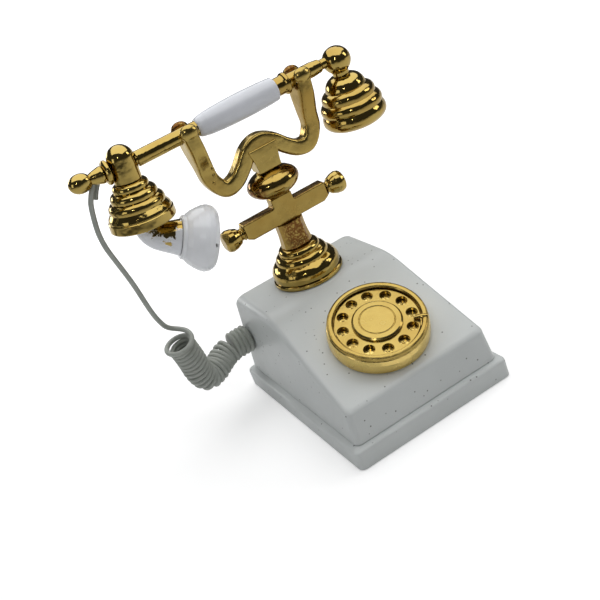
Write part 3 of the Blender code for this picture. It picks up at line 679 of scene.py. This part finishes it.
def coil_path():
    """Centreline of the close-wound part: out of its sleeve, then round and round to an open ring.

    The last turn widens, lifts off the turns below it and tilts.
    """
    knots = [(-102.0, 89.2, 64.0), (-110.0, 87.6, 62.4), (-118.0, 84.4, 59.6), (-126.5, 80.4, 57.4),
             (-137.0, 76.2, 58.4), (-143.0, 72.6, 71.0), (-145.2, 70.0, 87.0), (-148.0, 67.8, 102.0),
             (-150.6, 66.4, 112.0)]
    count = 640
    route = smooth_route(knots, count)
    frames = frames_along(route)
    marks = distances(route)
    _, last_normal, last_side = frames[-1]
    last_angle = math.atan2(last_side.dot(RING_BACK), last_normal.dot(RING_BACK))
    made = []
    for i, (point, (ahead, normal, side)) in enumerate(zip(route, frames)):
        share = marks[i] / marks[-1]
        angle = last_angle - 2 * math.pi * COIL_TURNS * (1 - share)
        opening = ease(share, 0.93, 0.985)
        radius = COIL_CENTRE_R + RING_EXTRA_R * opening
        spoke = radius * (math.cos(angle) * normal + math.sin(angle) * side)
        rise = 1.5 * ease(share, 0.94, 0.98) + 2.4 * ease(share, 0.986, 1.004)
        tilt = RING_TILT * spoke.dot(RING_LIFTED) * opening
        made.append(point + rise * ahead + spoke + Vector((0, 0, tilt)))
    ahead, normal, side = frames[0]
    first_angle = last_angle - 2 * math.pi * COIL_TURNS
    loose = []
    for turn, along in lead_in():
        angle = first_angle + turn
        spoke = COIL_CENTRE_R * (math.cos(angle) * normal + math.sin(angle) * side)
        loose.append(route[0] + along * ahead + spoke)
    return [loose[0] - ahead * CORD_STRAIGHT] + loose[:-1] + made


def cord_path():
    coil = coil_path()
    top = coil[-1]
    away = (coil[-1] - coil[-3]).normalized()
    knots = [(-154.8, 76.2, 132.4), (-158.2, 73.6, 143.2), (-161.0, 69.6, 157.0), (-163.2, 66.3, 173.0),
             (-165.6, 64.4, 190.8), (-169.4, 63.2, 211.4), (-173.1, 62.5, 231.0), (-173.9, 62.1, 247.0),
             (-172.0, 62.0, 261.0), (-168.6, 62.0, 275.6), (-164.6, 62.0, 283.4), (-160.0, 62.0, 289.8),
             (-158.2, 62.0, 292.6)]
    hanging = smooth_route(knots, 90)
    upward = (hanging[1] - hanging[0]).normalized()
    pull = 8.0
    join = bezier(top, top + pull * away, hanging[0] - pull * upward, hanging[0], 20)
    return settled(coil + join[1:] + hanging[1:])


def make_cord():
    path = cord_path()
    cord = piece("handset_cord", tube(path, CORD_WIRE_R), CORD, None,
                 ("cord_wire", "cord_coil"))
    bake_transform(cord)


def make_cord_ends():
    tail = [(-153.4, 65.6, 290.4), (-154.8, 66.0, 288.0), (-158.2, 66.6, 283.0), (-161.6, 66.8, 276.6)]
    piece("cord_tail_end", tube(smooth_route(tail, 16), 2.2), CORD, "handset", ("cord_tail",))
    ends = [(13.2, -0.6), (13.2, -5.6), (13.2, -10.6), (13.2, -15.6), (12.6, -20.4)]
    ribs = beads(ends, (1.9, 1.9, 1.9, 1.9), 9)
    sleeve = [(3.1, 9.0), (6.0, 9.0), (6.0, 0.0), (13.2, 0.0)] + ribs + [(3.1, -20.4)]
    place = Matrix.Translation(GLAND) @ ALONG_X
    piece("gland_sleeve", turned(sleeve, 64), CORD, "base", ("cord_gland",), place)


make_cord()
make_cord_ends()


# ---------------------------------------------------------------- base

def rounded_ring(half_w, half_d, radius, z):
    """Points of a level rectangle with rounded corners."""
    corner_steps = 10
    made = []
    for turn, sx, sy in ((0, 1, 1), (90, -1, 1), (180, -1, -1), (270, 1, -1)):
        for i in range(corner_steps + 1):
            angle = math.radians(turn + 90 * i / corner_steps)
            made.append((sx * (half_w - radius) + radius * math.cos(angle),
                         sy * (half_d - radius) + radius * math.sin(angle), z))
    return made


def make_plinth():
    edge = fillet([(76.5, 21.0), (79.4, 21.0), (84.4, 19.3), (85.7, 18.2), (PLINTH_HALF_W, 16.0),
                   (PLINTH_HALF_W, 0.6)], 1.6, 6)
    inside = ((76.2, 108.2, 0.6), (76.2, 108.2, 4.6), (66, 98, 4.6), (66, 98, 21.0))
    rings = [rounded_ring(w, w + PLINTH_HALF_D - PLINTH_HALF_W, 6.0, z) for w, z in edge]
    rings += [rounded_ring(w, d, 2.0, z) for w, d, z in inside]
    piece("plinth_enamel", skin(rings, pipe=True), WHITE, "base", ("plinth",))


def body_top_height(y):
    """Level at the back, sloping down under the dial, with a soft bend between the two."""
    slope = DIAL_Z + math.tan(DIAL_TILT) * (y - DIAL_Y)
    blend = 6.0
    share = min(max(0.5 + 0.5 * (slope - BODY_TOP) / blend, 0.0), 1.0)
    return slope + (BODY_TOP - slope) * share - blend * share * (1 - share)


def body_edge_radius(y):
    """Rounding of the top edge, which grows from the front to the back."""
    share = min(max((y + 110.0) / 215.0, 0.0), 1.0)
    return 4.8 + 3.6 * share + 2.8 * share ** 6


def body_inset(z):
    return WALL_DRAFT * (z - BODY_BOTTOM)


def body_point(slot, inset):
    """Point on the rounded outline; odd sides are its corners, and share runs along a side."""
    side, share = slot
    corner = 6.0
    half_w, half_d = BODY_HALF_W - inset - corner, BODY_HALF_D - inset - corner
    straight, turn = divmod(side, 2)
    angle = math.radians(90 * straight + (90 * share if turn else 0))
    signs = ((1, 1), (-1, 1), (-1, -1), (1, -1))
    if turn:
        sx, sy = signs[straight]
        return (sx * half_w + corner * math.cos(angle), sy * half_d + corner * math.sin(angle))
    (ax, ay), (bx, by) = signs[straight - 1], signs[straight]
    x = half_w * (ax + (bx - ax) * share) + corner * math.cos(angle)
    y = half_d * (ay + (by - ay) * share) + corner * math.sin(angle)
    return (x, y)


def body_slots(long_steps, short_steps, corner_steps):
    """(side, share) pairs once round the outline, for body_point."""
    made = []
    for side in range(8):
        steps = corner_steps if side % 2 else (long_steps if side % 4 == 0 else short_steps)
        made += [(side, i / steps) for i in range(steps)]
    return made


def make_body():
    slots = body_slots(56, 8, 10)
    wall_steps, edge_steps, cap_steps = 10, 10, 26
    rings = []
    for k in range(wall_steps + edge_steps + 1):
        ring = []
        for slot in slots:
            outer_y = body_point(slot, body_inset(90.0))[1]
            radius = body_edge_radius(outer_y)
            brim = body_top_height(outer_y) - radius
            if k <= wall_steps:
                z = BODY_BOTTOM + (brim - BODY_BOTTOM) * k / wall_steps
                ring.append((*body_point(slot, body_inset(z)), z))
                continue
            angle = math.radians(90 * (k - wall_steps) / edge_steps)
            x, y = body_point(slot, body_inset(brim) + radius * (1 - math.cos(angle)))
            ring.append((x, y, brim + (body_top_height(y) - brim) * math.sin(angle)))
        rings.append(ring)
    edge = rings[-1]
    for k in range(1, cap_steps + 1):
        size = 1 - k / (cap_steps + 0.6)
        rings.append([(x * size, y * size, body_top_height(y * size)) for x, y, _ in edge])
    jack_opening = slab((-9.3, 98, 29.7), (9.3, 120, 46.3))
    shell = combine(skin(rings), cuts=[jack_opening])
    piece("body_enamel", shell, WHITE, "base", ("body_shell",), sharp=30.0)


def make_jack():
    box = slab((-9.0, 94.0, 30.0), (9.0, 112.0, 46.0))
    flange = slab((-12.0, 111.8, 27.0), (12.0, 114.2, 49.0))
    socket = slab((-5.8, 100.0, 33.0), (5.8, 116.0, 42.0))
    latch_way = slab((-1.7, 104.0, 31.4), (1.7, 116.0, 34.0))
    case = combine(box, joins=[flange], cuts=[socket, latch_way], bevel=0.5, segments=3)
    piece("jack_case", case, BLACK, "base", ("line_jack",))
    pins = bmesh.new()
    for k in range(4):
        x = -2.1 + 1.4 * k
        bends = [Vector((x, 100.4, 40.9)), Vector((x, 108.0, 40.6)), Vector((x, 112.0, 37.4))]
        append_to(pins, tube(bends, 0.25, 8))
    piece("jack_pins", pins, BRASS, "base")


make_plinth()
make_body()
make_jack()


# ---------------------------------------------------------------- dial

def dial_piece(name, bm, look, body, replaced=(), sharp=35.0):
    return piece(name, bm, look, body, replaced, DIAL, sharp)


def make_dial_case():
    rim = fillet([(40.9, 9.7), (40.9, 18.6), (41.9, 20.2), (44.6, 20.5), (46.2, 19.8), (46.9, 18.4)], 1.0, 6)
    groove = fillet([(46.9, 18.0), (46.4, 17.2), (46.6, 16.6), (47.4, 15.6), (48.1, 11.0), (48.3, 5.0),
                     (47.9, 0.5), (37.0, 0.5), (37.0, 9.7)], 0.8, 5)
    drum = dial_piece("dial_rim", turned(rim + groove, 144), GILT_SATIN, "base", ("dial_housing",))
    wall_r, wall_top = 46.0, 17.0
    to_dial = DIAL.inverted()

    # Painted highlight: the rim's outer wall is lightened from just below its top edge downwards.
    def pale_wall(vert):
        at = to_dial @ (vert.co / MM)
        return ease(wall_top - at.z, 0.0, 1.5) if at.xy.length > wall_r else 0.0

    mark(drum, "painted_light", pale_wall)
    plate = fillet([(4.0, 11.6), (40.5, 11.6), (40.5, 10.0), (4.0, 10.0)], 0.3, 3, closed=True)
    disc = dial_piece("number_disc", turned(plate, 120), GILT_SATIN, "base", ("number_plate",))
    # Painted light: the number disc is lightened to lift the shade in the finger holes.
    mark(disc, "painted_light", lambda vert: 0.6)


def make_stop():
    """Tapering hook from the rim over the edge of the finger wheel, flattened below."""
    count, underside = 22, 17.25
    hook = [(45.6, 0, 19.2), (42.0, 0, 20.0), (38.6, 0, 19.6), (35.6, 0, 18.6), (33.4, 0, 17.9)]
    sizes = [1.9 - 0.5 * (i / (count - 1)) ** 2 for i in range(count)]
    stop = tube(smooth_route(hook, count), sizes, 16)
    for vert in stop.verts:
        vert.co.y *= 1.25
        vert.co.z = max(vert.co.z, underside)
    stop.transform(Matrix.Rotation(STOP_TURN, 4, "Z"))
    dial_piece("stop_hook", stop, GILT, "base", ("finger_stop",), sharp=60.0)


def hole_place(k, height):
    angle = FIRST_HOLE + 2 * math.pi * k / HOLE_COUNT
    return (HOLE_PITCH_R * math.cos(angle), HOLE_PITCH_R * math.sin(angle), height)


def make_finger_wheel():
    disc = turned([(3.3, 16.6), (39.6, 16.6), (39.6, 12.8), (3.3, 12.8)], 144)
    drills = [rod(HOLE_R, 10, 20, hole_place(k, 0)) for k in range(HOLE_COUNT)]
    wheel = combine(disc, cuts=drills, bevel=0.7, segments=4, angle=50.0)
    dial_piece("finger_wheel_gilt", wheel, GILT_SATIN, "dial_wheel", ("finger_wheel",))
    cap = [(0, 19.8), (15.9, 19.8), (16.3, 19.1), (16.9, 19.1), (17.3, 19.8), (22.0, 19.8), (23.8, 18.4),
           (23.8, 16.9), (0, 16.9)]
    dial_piece("dial_cap", turned(fillet(cap, 0.45, 5), 120), GILT_SATIN, "dial_wheel", ("dial_hub",))


def raised_digit(figure):
    text = bpy.data.curves.new("digit", "FONT")
    text.body = str(figure)
    text.size = 8.2
    text.align_x = text.align_y = "CENTER"
    text.extrude = 0.35
    text.bevel_depth = 0.12
    text.offset = 0.10
    holder = bpy.data.objects.new("digit", text)
    bpy.context.scene.collection.objects.link(holder)
    graph = bpy.context.evaluated_depsgraph_get()
    made = bmesh.new()
    made.from_mesh(bpy.data.meshes.new_from_object(holder.evaluated_get(graph)))
    bpy.data.objects.remove(holder, do_unlink=True)
    bmesh.ops.remove_doubles(made, verts=made.verts, dist=0.005)
    bmesh.ops.translate(made, vec=(0, 0, 0.45), verts=made.verts)
    return made


def make_digits():
    """Raised marks under the holes, counter-clockwise: a dot, 1 to 9, 0, and a dot next to the stop."""
    plate_top = 11.58
    marks = bmesh.new()
    for k in range(HOLE_COUNT):
        if k in (0, HOLE_COUNT - 1):
            sign = turned(arc(0, 0, 1.5, 90, 0, 6, 0.5) + [(0, 0)], 24)
        else:
            sign = raised_digit(k % 10)
        sign.transform(Matrix.Translation(hole_place(k, plate_top)))
        append_to(marks, sign)
    dial_piece("dial_digits", marks, GILT, "base")


make_dial_case()
make_stop()
make_finger_wheel()
make_digits()


# ---------------------------------------------------------------- pedestal

AT_PEDESTAL = Matrix.Translation((0, PEDESTAL_Y, 0))


def make_flange():
    ends = [(16.6, 144.0), (21.4, 137.4), (27.4, 129.8), (34.4, 112.8)]
    bore = 6.4
    lip = fillet([(34.4, 112.8), (36.2, 112.0), (36.4, 110.4), (35.6, 108.3), (28.0, 108.3), (24.0, 116.0),
                  (bore, 128.0)], 0.7, 4)
    profile = [(bore, 144.0)] + beads(ends, (1.8, 1.8, 3.6)) + lip[1:]
    piece("flange_turned", turned(profile, 120), GILT, "base", ("pedestal_flange",), AT_PEDESTAL)


def make_column():
    """Eight-sided post, wider at its foot and slightly waisted, brown with tarnish on its front face."""
    top, height, steps = 171.0, 26.7, 8
    rings = []
    for k in range(steps + 1):
        share = k / steps
        z = top - height * share
        waist = 0.6 * math.sin(math.pi * share)
        half_w, half_d, facet = 14.2 + 1.4 * share - waist, 11.0 + 1.5 * share - waist, 6.0 + share
        short_w, short_d = half_w - facet, half_d - facet
        outline = [(half_w, -short_d), (half_w, short_d), (short_w, half_d), (-short_w, half_d),
                   (-half_w, short_d), (-half_w, -short_d), (-short_w, -half_d), (short_w, -half_d)]
        rings.append([(x, y, z) for x, y in outline])
    rod_way = rod(5.0, 140, 176, (0, 0, 0))
    column = combine(skin(rings), cuts=[rod_way], bevel=0.8, segments=4, angle=30.0)
    column = piece("column_cast", column, GILT, "base", ("pedestal_column",), AT_PEDESTAL)
    face_half, front = 0.0095, PEDESTAL_Y * MM
    tarnish(column, lambda vert: 1.0 if abs(vert.co.x) < face_half and vert.co.y < front else 0.25)


def make_cross():
    half, arms_top, stem_half = 6.5, 190.0, 11.6
    corners = [(-47.5, arms_top), (-47.5, 174.6), (-41.5, 171.3), (-14.0, 171.3), (-11.0, 170.6),
               (11.0, 170.6), (14.0, 171.3), (41.5, 171.3), (47.5, 174.6), (47.5, arms_top),
               (stem_half, arms_top), (stem_half, 199.3), (-stem_half, 199.3), (-stem_half, arms_top)]
    outline = fillet(corners, 2.4, 4, closed=True)
    sides = [[(x, y, z) for x, z in outline] for y in (-half, half)]
    arms = combine(skin(sides), bevel=1.5, segments=5, angle=60.0)
    cross = combine(arms, cuts=[rod(4.2, 165, 206, (0, 0, 0))])
    cross = piece("cross_cast", cross, GILT_SATIN, "base", ("cross_block",), AT_PEDESTAL)
    tarnish(cross, lambda vert: 0.8 if vert.co.z > 0.1895 and abs(vert.co.x) > 0.012 else 0.0)


def make_knobs():
    outline = fillet([(0, 22.4), (6.6, 22.4), (10.2, 20.6), (11.4, 16.6), (10.6, 11.8), (8.4, 6.4),
                      (6.2, 4.4), (5.6, 2.2), (8.0, 0.6), (0, 0.6)], 2.4, 6)
    for side, name in ((-1, "knob_left"), (1, "knob_right")):
        at_end = AT_PEDESTAL @ Matrix.Translation((side * 47.4, 0, 180.6))
        place = at_end @ Matrix.Rotation(side * math.pi / 2, 4, "Y")
        piece(f"cross_{name}", turned(outline, 72), GILT, "base", (name,), place)


def make_bulb():
    """Flattened ball, a little narrower from front to back, browned on its left and upper right."""
    bore = 4.6
    outline = arc(0, 0, 27.0, 74, -74, 40, 0.54)
    profile = [(bore, outline[0][1])] + outline + [(bore, outline[-1][1])]
    squeeze = Matrix.Diagonal((1.0, 0.86, 1.0, 1.0))
    place = Matrix.Translation((0, PEDESTAL_Y, 213.5)) @ squeeze
    bulb = piece("bulb_turned", turned(profile, 96), GILT, "base", ("bulb_collar",), place)

    def browned(vert):
        return max(ease(-vert.co.x, 0.013, 0.021), ease(vert.co.x + vert.co.z, 0.226, 0.236))

    tarnish(bulb, browned)


make_flange()
make_column()
make_cross()
make_knobs()
make_bulb()


# ---------------------------------------------------------------- cradle

def cradle_route(count):
    top = [(CRADLE_SPAN + 0.5, 297.0), (CRADLE_SPAN - 0.5, 285.0)]
    left = top + [(59.2, 262.0), (57.2, 244.0), (47.8, 230.4), (36.0, 231.6), (25.0, 240.0), (13.0, 252.4)]
    right = top + [(58.6, 262.0), (57.0, 245.5), (48.2, 232.8), (36.2, 232.8), (25.0, 240.4), (13.0, 251.8)]
    knots = [(-x, 0, z) for x, z in left] + [(0, 0, 256.8)] + [(x, 0, z) for x, z in reversed(right)]
    return smooth_route(knots, count)


def cradle_arms():
    """Bent bar of squarish section that deepens into the two tines at its ends."""
    count, sides = 181, 40
    half, tine_extra, squareness = 8.0, 7.2, 0.42
    route = cradle_route(count)
    rings = []
    for i, point in enumerate(route):
        ahead = route[min(i + 1, count - 1)] - route[max(i - 1, 0)]
        side = Vector((ahead.z, 0, -ahead.x)).normalized()
        on_tine = abs(point.x) > 50.0
        depth = half + (tine_extra * ease(point.z, 250.0, 282.0) if on_tine else 0.0)
        ring = []
        for k in range(sides):
            angle = 2 * math.pi * (k + 0.5) / sides
            c, s = math.cos(angle), math.sin(angle)
            u = math.copysign(abs(c) ** squareness, c)
            v = math.copysign(abs(s) ** squareness, s)
            ring.append(point + side * half * u + Vector((0, depth * v, 0)))
        rings.append(ring)
    return skin(rings)


def egg(at, size, around, down):
    bm = bmesh.new()
    bmesh.ops.create_uvsphere(bm, u_segments=around, v_segments=down, radius=1.0)
    bm.transform(Matrix.Translation(at) @ Matrix.Diagonal((*size, 1.0)))
    return bm


def cradle_block():
    """Block under the middle of the arms, slightly waisted and wider at its top."""
    bottom, height, half_d, steps = 227.8, 25.0, 9.6, 6
    rings = []
    for k in range(steps + 1):
        share = k / steps
        half = 12.0 + 4.0 * share - 0.8 * math.sin(math.pi * share)
        z = bottom + height * share
        rings.append([(-half, -half_d, z), (half, -half_d, z), (half, half_d, z), (-half, half_d, z)])
    return combine(skin(rings), bevel=1.4, segments=4, angle=40.0)


def make_cradle():
    joins = [cradle_block()]
    tip_x = CRADLE_SPAN + 0.4
    for x in (-tip_x, tip_x):
        for y in (-11.6, 11.6):
            joins.append(egg((x, y, 296.6), (9.2, 5.4, 7.8), 40, 24))
    for lump in ((-54.4, -8.3, 249.0), (-53.4, -8.8, 255.4), (-57.4, -8.1, 242.6)):
        joins.append(egg(lump, (1.6, 1.1, 1.9), 20, 12))
    opening = BAR_R + 0.4
    rod_way = rod(3.9, 220.0, 240.3, (0, 0, 0))
    saddle = rod(opening, -90, 90, (0, 0, BAR_Z), ALONG_X, 64)
    mouth = slab((-90, -opening, BAR_Z), (90, opening, 330))
    fork = combine(cradle_arms(), joins=joins, cuts=[rod_way, saddle, mouth])
    fork = piece("cradle_cast", fork, GILT_SATIN, "cradle", ("cradle_fork",), AT_PEDESTAL)
    tarnish(fork, lambda vert: ease(vert.co.z, 0.292, 0.296) * ease(vert.co.y, 0.066, 0.070))


make_cradle()


# ---------------------------------------------------------------- handset

def handset_piece(name, profile, look, replaced, place, steps=96, cuts=()):
    bm = turned(profile, steps)
    if cuts:
        bm = combine(bm, cuts=cuts)
    return piece(name, bm, look, "handset", replaced, place)


def make_bar():
    along = HANDSET @ ALONG_X
    neck = 5.0
    bar = fillet([(0, 100.0), (neck, 100.0), (neck, 88.0), (6.4, 86.5), (BAR_R, 78.0), (BAR_R, -113.7),
                  (neck, -113.7), (neck, -133.6), (0, -133.6)], 0.5, 4)
    handset_piece("bar_rod", bar, GILT, ("handset_bar",), along)
    bore = BAR_R + 0.3
    grip = fillet([(bore, 35.6), (10.4, 35.6), (11.5, 34.6), (12.3, 22.0), (12.7, 4.0), (12.6, -12.0),
                   (12.0, -28.0), (11.0, -40.0), (9.6, -47.4), (8.6, -49.4), (bore, -50.2)], 6.0, 8)
    handset_piece("grip_porcelain", grip, PORCELAIN, ("grip",), along)
    collar = fillet([(bore, 49.6), (9.6, 49.6), (10.6, 48.6), (10.6, 45.8), (9.4, 44.6), (8.9, 43.0),
                     (8.9, 36.0), (bore, 36.0)], 0.8, 5, closed=True)
    handset_piece("grip_ring", collar, GILT, ("grip_collar",), along)


def make_end_fittings():
    along = LEAN @ ALONG_X
    ring = fillet([(5.3, -13.5), (10.0, -13.5), (11.6, -14.6), (11.6, -17.2), (10.0, -18.6), (7.0, -19.4),
                   (5.3, -19.4)], 1.0, 5, closed=True)
    handset_piece("end_ring", ring, GILT, ("finial_ring",), along)
    blob = arc(0, -41.8, 9.2, 58, -90, 28, 1.2)
    neck = fillet([(0, -13.8), (5.0, -13.8), (5.0, -19.8), (8.2, -19.8), (8.2, -22.0), (6.0, -30.0),
                   blob[0]], 2.5, 6)
    handset_piece("end_ball", neck + blob[1:], GILT, ("finial",), along)


def make_transmitter():
    post = arc(0, 7.2, 13.0, 90, 0, 20) + [(13.0, -13.4), (12.4, -14.0), (0, -14.0)]
    bar_way = rod(5.4, -6.4, 60, (0, 0, 0), Matrix.Rotation(-TRANSMITTER_LEAN, 4, "Y") @ ALONG_X)
    handset_piece("post_dome", post, GILT, ("transmitter_yoke",), LEAN, cuts=[bar_way])
    ends = [(12.0, -14.4), (16.8, -22.0), (22.0, -30.6), (26.6, -39.0)]
    rim = fillet([ends[-1], (29.6, -43.0), (30.4, -45.4), (29.9, -46.2), (31.3, -47.2), (31.7, -54.6),
                  (30.9, -55.6), (29.8, -55.6), (29.8, -51.0), (27.0, -46.0), (16.0, -27.0), (0, -27.0)],
                 0.7, 5)
    bell = [(0, -14.4)] + beads(ends, (2.6, 2.6, 2.2)) + rim[1:]
    handset_piece("transmitter_bell", bell, GILT, ("transmitter_shell",), LEAN, 120)
    disc = fillet([(9.0, -51.4), (29.4, -51.4), (29.4, -54.6), (9.0, -54.6)], 0.6, 4, closed=True)
    handset_piece("transmitter_disc", disc, GILT, ("transmitter_plate",), LEAN)


def horn_route(count):
    knots = [(0.0, 0, -55.2), (0.2, 0, -59.0), (1.6, 0, -65.0), (5.6, 0, -71.0), (12.0, 0, -75.3),
             (25.9, 0, -81.4)]
    return smooth_route(knots, count)


def make_horn():
    """Bent pipe that widens to the cup; its attribute "coat" says how far enamel has run over it."""
    count, sides, wall = 36, 48, 2.0
    route = horn_route(count)
    side = Vector((0, 1, 0))
    outer, inner, coats = [], [], []
    for i, point in enumerate(route):
        ahead = (route[min(i + 1, count - 1)] - route[i - 1]).normalized() if i else Vector((0, 0, -1))
        up = ahead.cross(side)
        share = i / (count - 1)
        radius = 11.0 + 6.5 * share ** 1.6
        angles = (2 * math.pi * k / sides for k in range(sides))
        spokes = [math.cos(a) * side + math.sin(a) * up for a in angles]
        outer.append([point + radius * spoke for spoke in spokes])
        inner.append([point + (radius - wall) * spoke for spoke in spokes])
        near_cup = 1.6 * max(share - 0.78, 0.0)
        below = [0.58 - 0.6 * (0.8 * spoke.x + 0.6 * spoke.z) for spoke in spokes]
        coats.append([min(max(amount + near_cup, 0.0), 1.0) for amount in below])
    horn = piece("horn_pipe", skin(outer + inner[::-1], pipe=True), HORN_COAT, "handset",
                 ("mouth_horn",), HORN)
    coat = [amount for row in coats + coats[::-1] for amount in row]
    mark(horn, "coat", lambda vert: coat[vert.index])


def make_cup():
    before, end = horn_route(8)[-2:]
    ahead = end - before
    pitch = math.atan2(ahead.x, ahead.z)
    place = HORN @ Matrix.Translation(end) @ Matrix.Rotation(pitch, 4, "Y")
    cup = [(9.0, 0.6), (19.6, 0.6), (20.8, 2.0), (21.0, 4.4), (22.4, 5.4), (25.4, 9.0), (28.4, 14.0),
           (30.8, 19.5), (31.8, 24.0), (30.8, 29.0), (27.6, 33.0), (23.6, 34.0), (21.0, 31.0),
           (20.0, 14.0), (15.0, 4.4), (9.0, 3.4)]
    # The cup takes the lightened porcelain, painted light against the shade on its lower side.
    cup = piece("horn_cup", turned(fillet(cup, 2.4, 5, closed=True), 120), CUP_PAINTED_LIGHT, "handset",
                ("mouthpiece",), place, sharp=60.0)
    chip_at, chip_r = place @ Vector((-3.0, -30.6, 30.6)) * MM, 2.1
    mark(cup, "chip", lambda vert: 1.0 if (vert.co - chip_at).length / MM < chip_r else 0.0)


def make_receiver():
    neck_r = 8.2
    ball = arc(0, -2.4, 14.2, 90, -52, 30, 0.96) + [(neck_r, -14.4), (neck_r, -17.0), (0, -17.0)]
    socket = rod(5.4, -30.0, -5.0, (0, 0, 0), ALONG_X)
    handset_piece("receiver_knob", ball, GILT, ("receiver_ball",), RECEIVER, cuts=[socket])
    ends = [(8.6, -17.3), (20.6, -30.5), (27.0, -41.0), (30.6, -52.0)]
    inside = [(28.4, -52.0), (25.0, -41.0), (18.0, -31.0), (0, -28.0)]
    bell = [(0, -17.3)] + beads(ends, (3.2, 2.8, 2.4)) + inside
    handset_piece("receiver_bell", bell, GILT, ("receiver_shell",), RECEIVER, 120)
    rim = bead((30.6, -52.3), (25.0, -68.0), 4.6, 16)
    face = fillet([(25.0, -68.0), (24.0, -68.4), (20.0, -67.6), (16.0, -67.9), (12.0, -67.0), (8.0, -67.2),
                   (3.0, -66.0), (3.0, -58.0), (20.0, -58.0), (20.0, -52.3)], 0.8, 4)
    handset_piece("receiver_face", rim + face, GILT, ("receiver_cap",), RECEIVER, 120)


make_bar()
make_end_fittings()
make_transmitter()
make_horn()
make_cup()
make_receiver()
